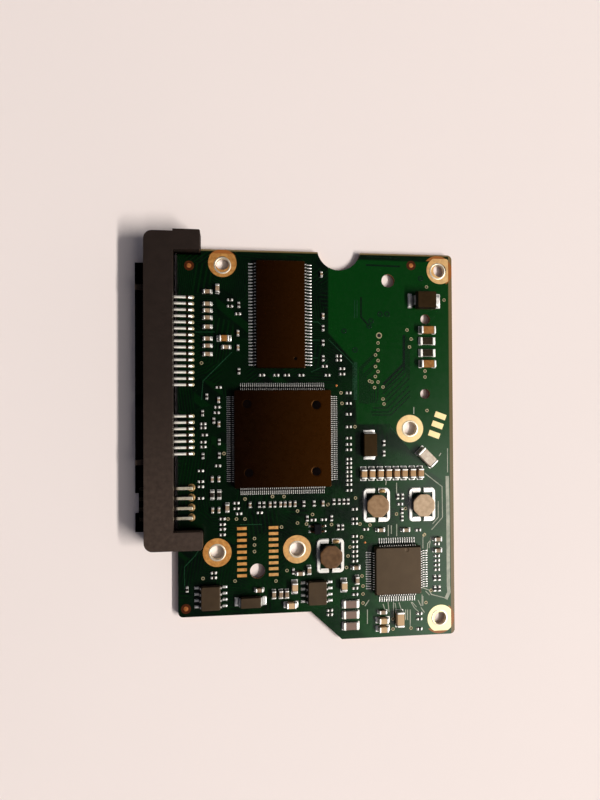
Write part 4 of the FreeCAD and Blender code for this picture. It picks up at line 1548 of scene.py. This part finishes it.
@dataclass
class Inductors:
    """The drum inductors: drums, wound wire and the frame halves that are their terminals.

    Attributes:
        flat: Swelling of the drum's flanges between their eight flats, as a share of the radius.
        flange: Thickness of a flange.
        wire: Diameter of the wire.
        coil: Diameter over the winding.
        bar: Width of a frame's bar.
        bend: Radius of a frame's corners along its middle.
        arm: Width of the frame's arms beside the drum.
        coat: Thickness of the coat on a drum's top.
        brim: Reach of the coat beyond the flange.
        coats: Finish of each coat, from the connector's side: one coat painted with more sheen further out.
    """

    flat: float = 0.05
    flange: float = 0.4
    wire: float = 0.2
    coil: float = 3.9
    bar: float = 0.58
    bend: float = 0.55
    arm: float = 0.9
    coat: float = 0.08
    brim: float = 0.06
    coats: tuple[Finish, ...] = COATS

    def drum(self, radius: float, height: float) -> Shell:
        """A drum with two flanges: the radius swells by half a cosine wave between the flats.

        Args:
            radius: Radius over the flats.
            height: Height over both flanges.

        Returns:
            A closed shell that stands on the origin.
        """
        core = self.coil / 2 - self.wire * 0.8
        soft = 0.12
        low, high = self.flange, height - self.flange
        profile = np.array([
            (0.4, 0.02), (radius - soft, 0), (radius, soft), (radius, low - 0.05), (radius - 0.06, low),
            (core, low), (core, high), (radius - 0.06, high), (radius, high + 0.05), (radius, height - soft),
            (radius - 0.035, height - 0.035), (radius - soft, height), (radius * 0.8, height - 0.02),
            (0.4, height - 0.02),
        ])
        return self.swollen(revolved(profile, 48), core + 0.01)

    def swollen(self, shell: Shell, core: float) -> Shell:
        """Makes round flanges eight-sided: beyond the core the radius swells by half a cosine wave per side.

        Args:
            shell: A shell about the Z axis.
            core: Radius within which nothing changes.

        Returns:
            The same shell.
        """
        turn = np.arctan2(shell.points[:, 1], shell.points[:, 0])
        outer = np.hypot(shell.points[:, 0], shell.points[:, 1]) > core
        shell.points[:, :2] *= (1 + self.flat * outer * (1 - np.cos(8 * turn)) / 2)[:, None]
        return shell

    def top_coat(self, radius: float, height: float) -> Shell:
        """The coat on a drum's upper flange: a thin disc with a rounded brim and a slightly sunken middle.

        Args:
            radius: Radius of the flange.
            height: Height of the coat's top.

        Returns:
            A closed shell.
        """
        low = height - self.coat
        return revolved(np.array([
            (radius - 0.06, low - 0.02), (radius - 0.02, low + 0.01), (radius - 0.06, height - 0.03),
            (radius - 0.16, height), (radius * 0.75, height - 0.015), (0.3, height - 0.03),
        ]), 48)

    def winding(self, height: float) -> Shell:
        """Wire wound between the flanges: a circle carried along a helix.

        Args:
            height: Height of the drum over both flanges.

        Returns:
            A closed shell about the drum's axis.
        """
        room = height - 2 * self.flange - self.wire
        turns = round(room / self.wire)
        along = np.linspace(0, 1, turns * 20 + 1)
        turn = along * turns * 2 * math.pi
        out = np.stack([np.cos(turn), np.sin(turn), np.zeros_like(turn)], axis=-1)
        level = self.flange + self.wire / 2 + along * room
        middle = out * (self.coil - self.wire) / 2 + UP * level[:, None]
        around = np.arange(6) * math.pi / 3
        section = np.cos(around)[None, :, None] * out[:, None] + np.sin(around)[None, :, None] * UP
        return loft(middle[:, None] + section * self.wire / 2)

    def bracket(self, width: float, length: float) -> np.ndarray:
        """Middle line of one frame half, open towards the drum, with two round corners.

        Args:
            width: Size across, along X.
            length: Size along Y.

        Returns:
            Points of the plan, from one end to the other.
        """
        turn = np.linspace(0, math.pi / 2, 5)
        centre = np.array([width - self.bar / 2 - self.bend, length / 2 - self.bar / 2 - self.bend])
        arc = centre + self.bend * np.stack([np.sin(turn), np.cos(turn)], axis=-1)
        upper = np.vstack([[0, length / 2 - self.bar / 2], arc])
        return np.vstack([upper, upper[::-1] * [1, -1]])

    def make(self) -> None:
        """Builds the inductors' pieces."""
        drums, halves = solid_boxes("inductor_drums"), solid_boxes("inductor_frames")
        size = drums[0, 1] - drums[0, 0]
        foot = drums.mean(axis=1)
        foot[:, 2] = drums[:, 0, 2]
        drum = self.drum(size[0] / 2, size[2] - self.coat).scattered(foot)
        add_piece("inductor_cores", drum, FERRITE, ("inductor_drums",), Shading.TURNED)
        coat = self.swollen(self.top_coat(size[0] / 2 + self.brim, size[2]), 0.0)
        for number, (drum_foot, finish) in enumerate(zip(foot[np.argsort(foot[:, 0])], self.coats)):
            top = coat.moved(*drum_foot)
            add_piece(f"inductor_top_{number}", top, finish, shading=Shading.COATED)
        winding = self.winding(size[2]).scattered(foot)
        add_piece("inductor_windings", winding, WIRE, ("inductor_coils",), Shading.WOUND)
        span = halves[0, 1] - halves[0, 0]
        middle = halves.mean(axis=1)
        nearest = foot[np.argmin(np.linalg.norm(middle[:, None] - foot[None], axis=-1), axis=1)]
        outward = np.sign(middle - nearest) * [1, 0, 0]
        root = middle - outward * span[0] / 2
        root[:, 2] = halves[:, 0, 2]
        axes = plan_axes(outward)
        line = self.bracket(span[0], span[1])
        levels = [(0.02, 0.02), (0.05, 0), (span[2] - 0.06, 0), (span[2] - 0.01, 0.05)]
        arm = stacked(span[0] * 0.72, self.arm, 0.1, levels)
        side = (span[1] - self.arm) / 2 - 0.02
        arms = [arm.moved(span[0] * 0.36, place, 0) for place in (side, -side)]
        frame_half = Shell.joined([ribbon(line, self.bar, span[2], 0.02, 0.1), *arms])
        frames = frame_half.scattered(root, axes)
        add_piece("inductor_terminals", frames, FRAME_TIN, ("inductor_frames",))
        blob = mound(np.array([
            (0, 0.3, 0.08), (0.2, 0.44, 0.2), (0.7, 0.46, 0.26), (1.2, 0.42, 0.2), (1.45, 0.25, 0.06),
        ]))
        upper = (outward[:, 0] > 0) & (nearest[:, 0] < foot[:, 0].max())
        ends = blob.scattered(root[upper] + [0.08, side, span[2] - 0.03], axes[upper])
        add_piece("inductor_wire_ends", ends, WIRE_SOLDER)
        pads = ribbon(line, self.bar + 0.2, 0.04, 0.0)
        add_piece("inductor_pads", pads.scattered(root, axes), SOLDER)


@dataclass
class Connector:
    """The drive connector: housing, contacts, jumper pins, their pads and solder.

    Attributes:
        rounding: Rounding of the housing's edges.
        tail_run: Reach of a contact over the board, up to its bend.
        tail_heel: Reach up to the start of its foot.
        slope: Fall of a contact over the board, up to its bend.
        sheet: Thickness of the contacts.
        toe: Reach up to the tip of its foot, which lies in the solder.
        pad: Reach of the near and of the far end of its pad.
        pad_half: Half of the pad's width.
        ring: Outer radius of the jumper pins' pads.
        climb: Height of the solder up the jumper pins.
        under: Share of that height on the board's underside.
    """

    rounding: float = 0.14
    tail_run: float = 1.68
    tail_heel: float = 1.85
    slope: float = 0.25
    sheet: float = 0.2
    toe: float = 2.45
    pad: Pair = (1.9, 3.33)
    pad_half: float = 0.36
    ring: float = 0.78
    climb: float = 0.4
    under: float = 0.4

    def make(self) -> None:
        """Builds the connector's pieces."""
        softened("connector_shell", "connector_housing", SHELL_PLASTIC, self.rounding)
        for group in ("power", "signal"):
            boxes = solid_boxes(f"{group}_contacts")
            edge = np.full(len(boxes), node_box("bare_board")[0, 0])
            tip = np.column_stack([edge, boxes[:, :, 1].mean(axis=1), boxes[:, 0, 2]])
            width, height = (boxes[0, 1] - boxes[0, 0])[1:]
            blades = self.blade(edge[0] - boxes[0, 0, 0], width, height).scattered(tip)
            add_piece(f"{group}_blades", blades, CONTACT, (f"{group}_contacts",))
            add_piece(f"{group}_tails", self.tail(width, height).scattered(tip), DARK_METAL)
            start, end = self.pad
            pad = stacked(end - start, 2 * self.pad_half, 0.32, [(0, 0), (0.02, 0), (0.05, 0.07)], 4)
            add_piece(f"{group}_lands", pad.moved((start + end) / 2, 0, 0).scattered(tip), RIM)
            add_piece(f"{group}_joints", self.drop().scattered(tip), SOLDER)
        softened("jumper_posts", "jumper_pins", POST, 0.05)
        self.jumper_solder()

    def blade(self, reach: float, width: float, height: float) -> Shell:
        """The bright part of one contact: level on its tongue, then falling gently over the board.

        Args:
            reach: Length on the tongue's side of the board's edge.
            width: Width of the strip.
            height: Height over all.

        Returns:
            A shell with the board's edge at the origin.
        """
        fall = height - self.sheet
        over_board = [[0, fall - 0.3 * self.slope], [self.tail_run, fall - self.slope]]
        line = np.array([[-reach, fall], [-0.7, fall], *over_board])
        return formed_strip(line + [0, self.sheet / 2], width, self.sheet)

    def tail(self, width: float, height: float) -> Shell:
        """The dark part of one contact: it falls in half a cosine wave and ends in a level foot.

        Args:
            width: Width of the strip.
            height: Height of the contact over all.

        Returns:
            A shell with the board's edge at the origin.
        """
        fall = height - self.sheet - self.slope
        bend = falling(self.tail_run, self.tail_heel, fall, 6)
        line = np.vstack([[self.tail_run - 0.15, fall], bend, [self.toe, 0]])
        return formed_strip(line + [0, self.sheet / 2], width * 0.96, self.sheet * 0.9)

    def drop(self) -> Shell:
        """Solder on the foot of one contact: it stands steeply at the heel and runs out beyond the toe.

        Returns:
            A shell with the board's edge at the origin.
        """
        place = self.toe + np.array([-0.37, -0.3, -0.2, 0.05, 0.3, 0.47])
        wide = np.array([0.6, 0.92, 1.0, 1.0, 0.9, 0.7]) * self.pad_half
        high = np.array([0.1, 0.31, 0.37, 0.28, 0.15, 0.07])
        return mound(np.column_stack([place, wide, high]))

    def jumper_solder(self) -> None:
        """Rings and cones of solder round the jumper pins, above and below the board.

        The cone's radius falls with the square of the way up the pin.
        """
        pins, board = solid_boxes("jumper_pins"), node_box("bare_board")
        way = np.linspace(0, 1, 5)
        film, bore, hugging = 0.04, 0.3, 0.36
        reach = hugging + (self.ring - 0.08 - hugging) * (1 - way) ** 2
        flank = np.column_stack([reach, film + self.climb * way])
        cone = np.vstack([[bore, 0], [self.ring, 0], [self.ring, 0.035], flank, [bore, film + self.climb]])
        flat = cone.copy()
        flat[:, 1] = np.minimum(flat[:, 1], film + (flat[:, 1] - film) * self.under)
        # The pin's upright leg is as thick as the pin is wide and ends the pin on the board's side.
        leg = pins[:, 1, 0] - (pins[:, 1, 1] - pins[:, 0, 1]) / 2
        plan = np.column_stack([leg, pins[:, :, 1].mean(axis=1)])
        above = revolved(cone, 20).scattered(at_height(plan, board[1, 2]))
        below = revolved(flat, 20).scattered(at_height(plan, board[0, 2]), UPSIDE_DOWN)
        add_piece("jumper_joints", Shell.joined([above, below]), WIRE_SOLDER)


@dataclass
class BoardArt:
    """What is on the board's two faces: traces and gaps under the mask, vias, dots and plated holes.

    Pixel places are those of the photograph, followed down to the board's upper face.

    Attributes:
        trace_width: Width of a trace.
        trace_height: Height of a trace under the mask.
        via_ring: Outer radius of a via's ring.
        via_bore: Radius of its bore.
        screw_hole: Radius of the screw holes.
        funnel: Outer radius of the tinned ring round a screw hole.
        throat: Inner radius of its plating.
        land: Outer radius of the lands on the underside.
        wide_trace: Width of the wide traces.
        gap: Width and height of the dark lines between copper areas.
        bus_gap: Width and height of the dark lines in the bus.
        target_ground: Radius and height of the bare laminate round the large copper dots.
        target_dot: Radius and height of the large copper dots.
        small_dot: Radius and height of the small ones.
        edge_reach: Distance from the upper or lower edge within which a land has bare laminate beside it.
        test_ring: Inner and outer radius of the large open via's ring.
        covered_ring: Inner and outer radius of the rings of the covered vias.
        lanes: Traces that show faintly.
        glinting_lanes: Traces painted pale as a glint of the light on them.
        wide_lanes: Wide traces that show faintly.
        rail: The wide trace along the far edge, painted pale as a glint.
        bus: Dark lines between the traces of the bus.
        gaps: Wider dark lines between copper areas.
        pours: Corners of the copper areas under the mask.
        vias: Small vias.
        test_hole: The large open via.
        covered_vias: Large vias under the mask.
        targets: Copper dots in a ring of bare laminate.
        dots: Small copper dots.
    """

    trace_width: float = 0.18
    trace_height: float = 0.02
    via_ring: float = 0.36
    via_bore: float = 0.2
    screw_hole: float = 1.4
    funnel: float = 1.76
    throat: float = 1.33
    land: float = 2.9
    wide_trace: float = 0.75
    gap: Pair = (0.35, 0.008)
    bus_gap: Pair = (0.2, 0.01)
    target_ground: Pair = (1.0, 0.012)
    target_dot: Pair = (0.47, 0.045)
    small_dot: Pair = (0.23, 0.04)
    edge_reach: float = 4.0
    test_ring: Pair = (0.42, 0.64)
    covered_ring: Pair = (0.3, 0.58)

    lanes: tuple[Path, ...] = (
        ((232, 352), (203, 381), (201.5, 400)),
        ((354.5, 300), (354.5, 318)), ((357, 300), (357, 318)), ((390, 426.7), (414.4, 454.4)),
        ((184.5, 590), (184.5, 567), (195, 556), (202, 545)), ((240, 524.5), (262, 524.5)),
        ((195, 332), (215, 332)), ((311, 322), (318, 322), (322, 326)), ((311, 340), (320, 340)),
        ((311, 358), (318, 358)), ((311, 372), (320, 368), (328, 360)), ((329, 340), (353, 364), (353, 390)),
    )
    glinting_lanes: tuple[Path, ...] = (
        ((424.8, 473.2), (442, 486.6), (442.5, 517.2), (431.5, 529.7)),
        ((438.2, 501), (438.2, 517.2), (432.5, 523.9)),
        ((447.5, 448.4), (447.5, 472.3)), ((413.8, 407), (413.8, 414)), ((396.6, 482.8), (396.6, 493.3)),
        ((388.3, 525), (388.3, 536)), ((391.3, 525.3), (391.3, 533.9)), ((396.7, 524), (396.7, 536)),
        ((367.4, 609.5), (367.4, 623.8)), ((405.6, 609.5), (405.6, 620)), ((407.6, 609.5), (407.6, 620)),
        ((410.2, 609.5), (410.2, 627.7)), ((383, 604), (385, 610)), ((395, 603), (396, 609)),
        ((412, 602), (416.5, 607)), ((418, 600), (421, 606)), ((422.9, 596), (422.9, 605.7)),
        ((424, 534.5), (422.9, 537.7), (422.9, 548.3)), ((431, 537), (429, 548)),
        ((425.5, 591), (429.5, 595)),
        ((439, 456), (441, 453)), ((386.2, 481), (385.8, 485)), ((421, 607.5), (424.5, 612.5)),
        ((432, 538.4), (427.7, 543.4), (427, 552)), ((420.8, 587), (429, 590), (431.4, 594.4), (445, 597.8)),
        ((411, 602), (414.5, 608), (420, 613)), ((422, 594.5), (422, 606)), ((393.5, 602), (393.5, 617)),
        ((369, 600), (365, 606)), ((388, 602), (389, 612)), ((399, 602.5), (401, 609)),
    )
    wide_lanes: tuple[Path, ...] = (
        ((355.5, 362), (355.5, 400)),
    )
    bus: tuple[Path, ...] = (
        ((403, 335), (403, 366), (383, 386)), ((405, 335), (405, 372), (383, 394)),
        ((407, 337), (407, 376), (383, 400)), ((409, 340), (409, 379), (384, 404)),
        ((409, 386), (387, 408), (373, 408)), ((410, 391), (389, 412), (371, 412)),
        ((410, 396), (391, 415), (372, 415)),
        ((378, 350), (360, 368), (360, 403)), ((375.5, 355), (362, 368.5), (362, 403)),
        ((378, 360.5), (364, 374.5), (364, 404)), ((375.5, 366.5), (366, 376), (366, 404)),
        ((378, 371.5), (368, 381.5), (368, 404)), ((369.5, 381), (370.5, 403)), ((372, 382), (372.5, 403)),
        ((374.5, 387.5), (374.5, 403)), ((378, 382), (378, 395), (376.5, 403)),
    )
    rail: Path = ((447.2, 476), (448.0, 520), (448.4, 586), (449.0, 592), (445.8, 599))
    gaps: tuple[Path, ...] = (
        ((361, 297), (361, 317), (369, 326)), ((404, 335), (404, 369), (383, 390)), ((403, 364), (383, 384)),
        ((365.8, 256.5), (400, 258.5)), ((365.8, 265), (400, 266.5)),
    )
    pours: tuple[Path, ...] = (
        ((327.5, 258), (450, 262), (450, 362), (353, 362), (327.5, 333)),
        ((353, 350), (450, 350), (450, 425), (356, 425)),
        ((385, 420), (450, 420), (450, 486), (425, 470)),
    )
    vias: Path = (
        (201.5, 363), (224, 453.5), (245, 499), (272.5, 496.5), (284, 496.5), (297.5, 511),
        (297.5, 523), (312.5, 514.5), (306.5, 524), (331.5, 524.5), (328, 504.5), (254.5, 538.5),
        (254.5, 545), (254.5, 551.5), (281.5, 527), (405.5, 508.5), (396.5, 514), (370, 525),
        (360, 524), (348, 556), (346.5, 567.5), (361.5, 537), (362, 576), (363, 586),
        (363, 594), (363, 603), (424, 535), (411, 628), (393, 619), (393, 629),
        (426.5, 287), (444, 300), (427, 410.5), (425, 371), (425, 377), (236.5, 519),
        (245, 519), (228, 519), (203, 578.5), (287, 570.5), (235, 581), (276, 581),
        (341, 392.8), (342, 403.3), (355, 426.8), (407, 330), (411, 339), (409.5, 347),
        (378, 343), (378, 350), (375.5, 355), (378, 360.5), (375.5, 366.5), (378, 371.5),
        (375.3, 376.5), (372, 382), (378, 382), (369.5, 381), (374.5, 387.5), (383, 387),
        (383, 399), (384, 404), (424.5, 534.5), (431, 590.3), (426, 602.5), (350, 547),
        (355.5, 498), (327.7, 504.7),
    )
    test_hole: Path = ((379, 335.5),)
    covered_vias: Path = (
        (420.5, 278.5), (380, 314), (387, 314), (344, 331), (355, 350), (371, 321), (369, 326),
    )
    targets: Path = ((189, 265.5), (186, 609), (411, 265.5))
    dots: Path = ((336.5, 385.5), (365, 542.5))

    def __post_init__(self) -> None:
        """Takes the board's levels from the frame."""
        self.low, self.top = node_box("bare_board")[:, 2]

    def plan(self, pixels: Path) -> np.ndarray:
        """Places of pixels on the board's upper face."""
        return CAMERA.on_level(list(pixels), self.top)

    def strips(self, paths: tuple[Path, ...], width: float, height: float) -> Shell:
        """Strips along pixel paths.

        Args:
            paths: The paths.
            width: Width of the strips.
            height: Height of the strips.

        Returns:
            One shell that holds all strips, standing on the board.
        """
        return Shell.joined([ribbon(self.plan(path), width, height, self.top) for path in paths])

    def rings(self, places: np.ndarray, inner: float, outer: float, height: float, sides: int = 12) -> Shell:
        """Flat rings with a soft crown on both faces of the board.

        Args:
            places: Points of the plan.
            inner: Inner radius.
            outer: Outer radius.
            height: Height above the face.
            sides: Straight steps round a ring.

        Returns:
            One shell that holds all rings.
        """
        crown = height / 2
        profile = np.array([(inner, 0), (outer, 0), (outer - crown, height), (inner + crown, height)])
        return self.on_faces(revolved(profile, sides, True), places)

    def on_faces(self, shell: Shell, places: np.ndarray) -> Shell:
        """Copies of a shell on both faces of the board.

        Args:
            shell: The shell, standing on the origin.
            places: Points of the plan.

        Returns:
            One shell that holds all copies.
        """
        above = shell.scattered(at_height(places, self.top))
        below = shell.scattered(at_height(places, self.low), UPSIDE_DOWN)
        return Shell.joined([above, below])

    def disc(self, radius: float, height: float, sides: int = 12) -> Shell:
        """A low domed disc: its height falls with the square of the way out.

        Args:
            radius: Radius of the disc.
            height: Height of its middle.
            sides: Straight steps round it.

        Returns:
            A closed shell that stands on the origin.
        """
        out = np.array([1.0, 0.8, 0.4])
        rim = np.column_stack([out * radius, height * (1 - 0.6 * out ** 2)])
        return revolved(np.vstack([[radius, 0], rim]), sides)

    def barrels(self) -> Shell:
        """Plated walls of the screw holes: tubes whose upper ends open out into a tinned ring like a funnel.

        Returns:
            One shell that holds all tubes.
        """
        lands = solid_boxes("screw_lands")
        low, high = self.low, lands[0, 1, 2]
        wall, neck = self.screw_hole, self.throat
        profile = np.array([
            (wall, low), (wall + 0.15, low - 0.02), (wall - 0.03, low - 0.03), (neck, low + 0.2),
            (neck, high - 0.35), (neck + 0.06, high - 0.2), (wall - 0.02, high - 0.04),
            (wall + 0.05, high + 0.05), (wall + 0.14, high + 0.07), (self.funnel, high + 0.002),
            (self.funnel, high - 0.01), (wall, high - 0.02),
        ])
        return revolved(profile, 48, True).scattered(at_height(lands.mean(axis=1)[:, :2], 0.0))

    def spots(self, places: np.ndarray, radius: float, height: float) -> Shell:
        """Low domed discs on the upper face.

        Args:
            places: Points of the plan.
            radius: Radius of the discs.
            height: Height of their middles.

        Returns:
            One shell that holds all discs.
        """
        return self.disc(radius, height, 24).scattered(at_height(places, self.top))

    def mask(self) -> SolderMask:
        """The board's own finish, with bare laminate by the lands near the board's upper and lower edge.

        Returns:
            The finish.
        """
        board = node_box("bare_board")
        lands = solid_boxes("screw_lands").mean(axis=1)[:, :2]
        near = np.minimum(lands[:, 1] - board[0, 1], board[1, 1] - lands[:, 1]) < self.edge_reach
        pours = tuple(tuple(map(tuple, self.plan(area).tolist())) for area in self.pours)
        return SolderMask("green_mask", (0.0004, 0.0025, 0.0009), (0.0005, 0.034, 0.0022), 2.0, (0.18, 0.22),
                          relief=0.001, pours=pours, bare=tuple(map(tuple, lands[near].tolist())))

    def make(self) -> None:
        """Builds the pieces on the board's faces and dresses the board's own nodes."""
        dress("bare_board", self.mask())
        for node in ("screw_lands", "head_contact_pads", "motor_contact_pads"):
            dress(node, GOLD)
        for name, paths, width, height, finish in (
            ("traces", self.lanes, self.trace_width, self.trace_height, TRACE),
            ("glinting_traces", self.glinting_lanes, self.trace_width, self.trace_height, GLINT_TRACE),
            ("wide_traces", self.wide_lanes, self.wide_trace, self.trace_height, TRACE),
            ("edge_rail", (self.rail,), self.wide_trace, self.trace_height, GLINT_TRACE),
            ("trace_gaps", self.gaps, *self.gap, GAP),
            ("bus_gaps", self.bus, *self.bus_gap, GAP),
        ):
            add_piece(name, self.strips(paths, width, height), finish)
        self.make_vias()
        targets = self.plan(self.targets)
        add_piece("target_grounds", self.spots(targets, *self.target_ground), BARE_RING)
        copper = [self.spots(targets, *self.target_dot), self.spots(self.plan(self.dots), *self.small_dot)]
        add_piece("copper_dots", Shell.joined(copper), COPPER)
        add_piece("hole_plating", self.barrels(), PLATED_WALL)
        lands = solid_boxes("screw_lands").mean(axis=1)[:, :2]
        inner, outer = self.screw_hole + 0.17, self.land
        profile = np.array([(inner, 0), (outer, 0), (outer - 0.02, 0.03), (inner + 0.02, 0.03)])
        under = revolved(profile, 48, True).scattered(at_height(lands, self.low), UPSIDE_DOWN)
        add_piece("under_lands", under, GOLD)

    def make_vias(self) -> None:
        """Builds the rings of the vias, and dark discs as painted shade in their bores."""
        small, hole, covered = map(self.plan, (self.vias, self.test_hole, self.covered_vias))
        rings = [self.rings(small, self.via_bore, self.via_ring, 0.03),
                 self.rings(hole, *self.test_ring, 0.03, 20)]
        add_piece("via_rings", Shell.joined(rings), RIM)
        bores = [self.on_faces(self.disc(self.via_bore + 0.01, 0.012), small),
                 self.on_faces(self.disc(self.test_ring[0] + 0.01, 0.012, 20), hole)]
        add_piece("via_bores", Shell.joined(bores), BORE_SHADE)
        add_piece("covered_vias", self.rings(covered, *self.covered_ring, 0.02, 20), DARK_RING)


PACKAGES = (
    Package("controller", 0.3, 0.45, 0.005, dimples=((316.5, 405, 1.12, 0.06), (316.5, 471.5, 1.12, 0.06),
                                                     (247, 404, 1.05, 0.03), (249, 473, 1.05, 0.03))),
    Package("memory", 0.26, 0.7, 0.01, dimples=((295.5, 358.5, 0.4, 0.08),)),
    Package("motor_driver", 0.42, 0.65, 0.01, SHEENED_MOULD, draft=0.28, dimples=((407, 550, 0.4, 0.05),),
            polished=False),
    Package("firmware_chip", 0.6, 0.3, 0.08, SHEENED_MOULD),
    Package("switch_chip", 0.6, 0.3, 0.08, SHEENED_MOULD),
    Package("array_chip", 0.3, 0.25, 0.05, BLACK_MOULD, corner=0.1, draft=0.08, plating=DARK_METAL),
    Package("surge_diode", 0.7, 0.25, 0.5, DIODE_MOULD, corner=0.2, draft=0.28),
    Package("upper_rectifier", 0.45, 0.05, 0.05, DIODE_MOULD, shoulder=0.1, corner=0.2),
    Package("lower_rectifier", 0.5, 0.3, 0.05, SHEENED_MOULD, corner=0.2),
)
CAPACITOR, RESISTOR = "capacitor_ceramic", "resistor_glaze"
CHIPS = (
    ChipFamily("capacitor_1206", 3.2, 1.6, 1.3, 0.5, TAN_CERAMIC, CAPACITOR),
    ChipFamily("resistor_1206", 3.2, 1.6, 0.6, 0.5, BROWN_GLAZE, RESISTOR, True),
    ChipFamily("capacitor_0805", 2.0, 1.25, 1.2, 0.4, TAN_CERAMIC, CAPACITOR, pad_beyond=0.5),
    ChipFamily("capacitor_0603", 1.6, 0.8, 0.8, 0.35, BROWN_CERAMIC, CAPACITOR),
    ChipFamily("resistor_0603", 1.6, 0.8, 0.45, 0.35, GLAZE, RESISTOR, True),
    ChipFamily("capacitor_0402", 1.0, 0.5, 0.5, 0.25, BROWN_CERAMIC, CAPACITOR, pad_beyond=0.15),
    ChipFamily("resistor_0402", 1.0, 0.5, 0.35, 0.25, GLAZE, RESISTOR, True, pad_beyond=0.15),
    ChipFamily("shock_sensor", 4.2, 2.2, 1.6, 0.5, SENSOR, "sensor_ceramic", False,
               ("shock_sensor_body", "shock_sensor_ends")),
)


def main() -> None:
    """Builds the scene piece by piece."""
    logging.basicConfig(level=logging.INFO, format="%(message)s")
    CAMERA.make()
    Studio().make()
    BoardArt().make()
    Connector().make()
    for package in PACKAGES:
        package.make()
    for family in CHIPS:
        family.make()
    Inductors().make()


if __name__ == "__main__":
    main()
